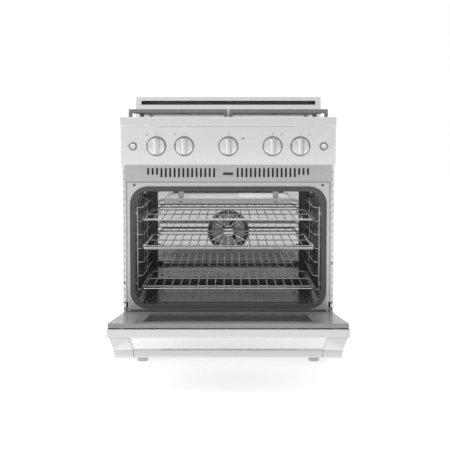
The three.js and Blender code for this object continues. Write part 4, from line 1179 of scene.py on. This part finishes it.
def backGuard():
    low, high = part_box("backguard")
    centre = (low + high) / 2
    bm = fromNode("backguard")
    softenEdges(bm, 0.6 * mm, 2, 50)
    for face in bm.faces:
        inward = (face.calc_center_median() - centre).dot(face.normal) < 0
        hidden = abs(face.calc_center_median().x) < high.x - 1 * mm
        face.material_index = 1 if inward and hidden else 0
    # the backguard's near-white steel is painted light
    guard = finishPiece("backGuard", bm, "paintedLightGuardSheet", "brushed_steel", "backguard")
    guard.data.materials.append(finishes["ductGrey"])


dressNode("front_ledge", "brushedAcross", "brushed_steel", 0.5 * mm, 2, 50)
cooktopPan()
for place in burnerPlaces:
    burnerHead(place)
    burnerCap(place)
burnerTrims()
for side in sides:
    grate = f"grate_{side}"
    dressNode(grate, "castIron", "cast_iron", 1.9 * mm, 3, 50, body=grate, smoothBelow=50)
backGuard()
print("cooktop built")


# Door

handleSeam = {"openAngle": 83.3, "wide": 1.6 * mm, "deep": 1.3 * mm, "edge": 1.4 * mm}


def handleBracket(side):
    # a seam runs round the bracket where its post meets the bar's end cap
    node = f"handle_bracket_{side}"
    angle = math.radians(handleSeam["openAngle"])
    outward = Vector((0, -math.cos(angle), -math.sin(angle)))
    waist = min(v.co.dot(outward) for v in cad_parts["handle_bar"].data.vertices)
    bm = fromNode(node)
    softenEdges(bm, handleSeam["edge"], 3)
    for step in (0, handleSeam["wide"]):
        cutAcross(bm, outward * (waist + step), outward)
    band = [f for f in bm.faces if waist < f.calc_center_median().dot(outward) < waist + handleSeam["wide"]]
    bmesh.ops.inset_region(bm, faces=band, thickness=0.0, depth=-handleSeam["deep"], use_even_offset=True)
    finishPiece(pieceName(node), bm, "brushedAcross", "brushed_steel", node, body="door")


dressNode("door_skin", "brushedAcross", "brushed_steel", 1.2 * mm, 3, body="door")
dressNode("door_liner", "linerEnamel", "grey_enamel", 1.6 * mm, 3, body="door")
for pane in ("door_outer_glass", "door_inner_glass"):
    dressNode(pane, "doorGlass", "door_glass", 0.6 * mm, 3, body="door")
# the bar's darker steel is painted shade over the key light's highlight
dressNode("handle_bar", "barSteel", "brushed_steel", 3.2 * mm, 5, body="door")
for side in sides:
    handleBracket(side)
    dressNode(f"hinge_bracket_{side}", "plainSteel", "plain_steel", 0.6 * mm, 3)
print("door built")


# Pieces kept as they are, with a real finish

keptFinishes = {"gas_manifold": "burnerAlloy", "fan_motor": "plainSteel", "bake_burner": "burnerAlloy"}
keptFinishes.update({f"valve_stem_{place}": "plainSteel" for place in knobPlaces})
for node, finish in keptFinishes.items():
    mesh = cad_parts[node].data
    mesh.materials.clear()
    mesh.materials.append(finishes[finish])
print("kept nodes finished,", len(keptFinishes))


# Studio

studio = {"white": 1.0, "floorTone": 0.6, "floorGlow": 0.68, "left": 1.34, "right": 0.48, "horizon": 0.92,
          "overhead": 1.05, "behindCook": 0.9, "key": 22.0, "fill": 4.0, "top": 14.0, "ovenLamp": 0.3,
          "deckLamp": 0.4}


def studioWorld():
    # soft room light, stronger from the left, with the room dark above the cook's head
    world = bpy.data.worlds.new("studioWorld")
    bpy.context.scene.world = world
    world.use_nodes = True
    tree = world.node_tree
    tree.nodes.clear()
    place = addNode(tree, "TexCoord")
    split = addNode(tree, "SeparateXYZ")
    across = ramp(tree, -1.0, 1.0, studio["left"], studio["right"])
    upward = ramp(tree, 0.0, 0.5, studio["horizon"], studio["overhead"])
    frontward = ramp(tree, -0.35, -0.7)
    aboveHead = ramp(tree, 0.1, 0.22)
    belowTop = ramp(tree, 0.75, 0.55)
    dimmed = ramp(tree, toMax=studio["behindCook"], toMin=1.0)
    seen = addNode(tree, "LightPath")
    room = addNode(tree, "Background")
    backdrop = addNode(tree, "Background", values={"Color": grey(1.0), "Strength": studio["white"]})
    choose = addNode(tree, "MixShader")
    out = addNode(tree, "OutputWorld")
    level = multiply(tree, across.outputs[0], upward.outputs[0])
    band = multiply(tree, frontward.outputs[0], aboveHead.outputs[0])
    tree.links.new(multiply(tree, band, belowTop.outputs[0]), dimmed.inputs["Value"])
    tree.links.new(multiply(tree, level, dimmed.outputs[0]), room.inputs["Strength"])
    joinUp(tree, (place, "Generated", split, 0), (split, "X", across, "Value"), (split, "Z", upward, "Value"),
           (split, "Y", frontward, "Value"), (split, "Z", aboveHead, "Value"), (split, "Z", belowTop, "Value"),
           (seen, "Is Camera Ray", choose, "Fac"), (room, 0, choose, 1), (backdrop, 0, choose, 2),
           (choose, 0, out, "Surface"))


def studioFloor():
    bm = bmesh.new()
    bmesh.ops.create_grid(bm, x_segments=1, y_segments=1, size=12)
    mesh = bpy.data.meshes.new("studioFloor")
    bm.to_mesh(mesh)
    bm.free()
    material = bpy.data.materials.new("paleFloor")
    material.use_nodes = True
    shader = material.node_tree.nodes["Principled BSDF"]
    shader.inputs["Base Color"].default_value = grey(studio["floorTone"])
    shader.inputs["Roughness"].default_value = 0.8
    shader.inputs["Emission Color"].default_value = grey(1.0)
    shader.inputs["Emission Strength"].default_value = studio["floorGlow"]
    mesh.materials.append(material)
    floor = bpy.data.objects.new("studioFloor", mesh)
    bpy.context.scene.collection.objects.link(floor)


def softBox(name, place, target, size, power):
    data = bpy.data.lights.new(name, "AREA")
    data.shape, data.size, data.size_y, data.energy = "RECTANGLE", size[0], size[1], power
    light = bpy.data.objects.new(name, data)
    light.location = place
    light.rotation_euler = (Vector(target) - Vector(place)).to_track_quat("-Z", "Y").to_euler()
    bpy.context.scene.collection.objects.link(light)


camera = {"inFront": 2.9526, "height": 0.858, "lens": 77.1, "tilt": 3.0, "shift": (-0.0074, -0.11)}


def studioCamera():
    data = bpy.data.cameras.new("studioCamera")
    data.sensor_width, data.lens = 36.0, camera["lens"]
    data.shift_x, data.shift_y = camera["shift"]
    holder = bpy.data.objects.new("studioCamera", data)
    holder.location = (0, cadLow.y - camera["inFront"], camera["height"])
    holder.rotation_euler = (math.radians(90 - camera["tilt"]), 0, 0)
    bpy.context.scene.collection.objects.link(holder)
    bpy.context.scene.camera = holder


studioWorld()
studioFloor()
softBox("keyBox", (-2.6, -2.8, 2.6), (0, 0, 0.5), (2.2, 2.2), studio["key"])
softBox("fillBox", (2.8, -2.2, 1.8), (0, 0, 0.5), (2.0, 2.0), studio["fill"])
softBox("topBox", (0, 0.4, 3.2), (0, 0.1, 0.6), (2.6, 2.6), studio["top"])
trayMiddle, lampHeight = middleOf("broil_burner").y, cavityCeiling - 3 * mm
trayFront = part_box("broil_burner")[0].y
softBox("lampBox", (0, trayFront - 34 * mm, lampHeight), (0, 0.25, 0.3), (0.56, 0.05), studio["ovenLamp"])
softBox("deckBox", (0, trayMiddle, lampHeight), (0, trayMiddle, 0), (0.5, 0.26), studio["deckLamp"])
studioCamera()
bpy.context.scene.view_settings.view_transform = "Standard"
print("studio set")
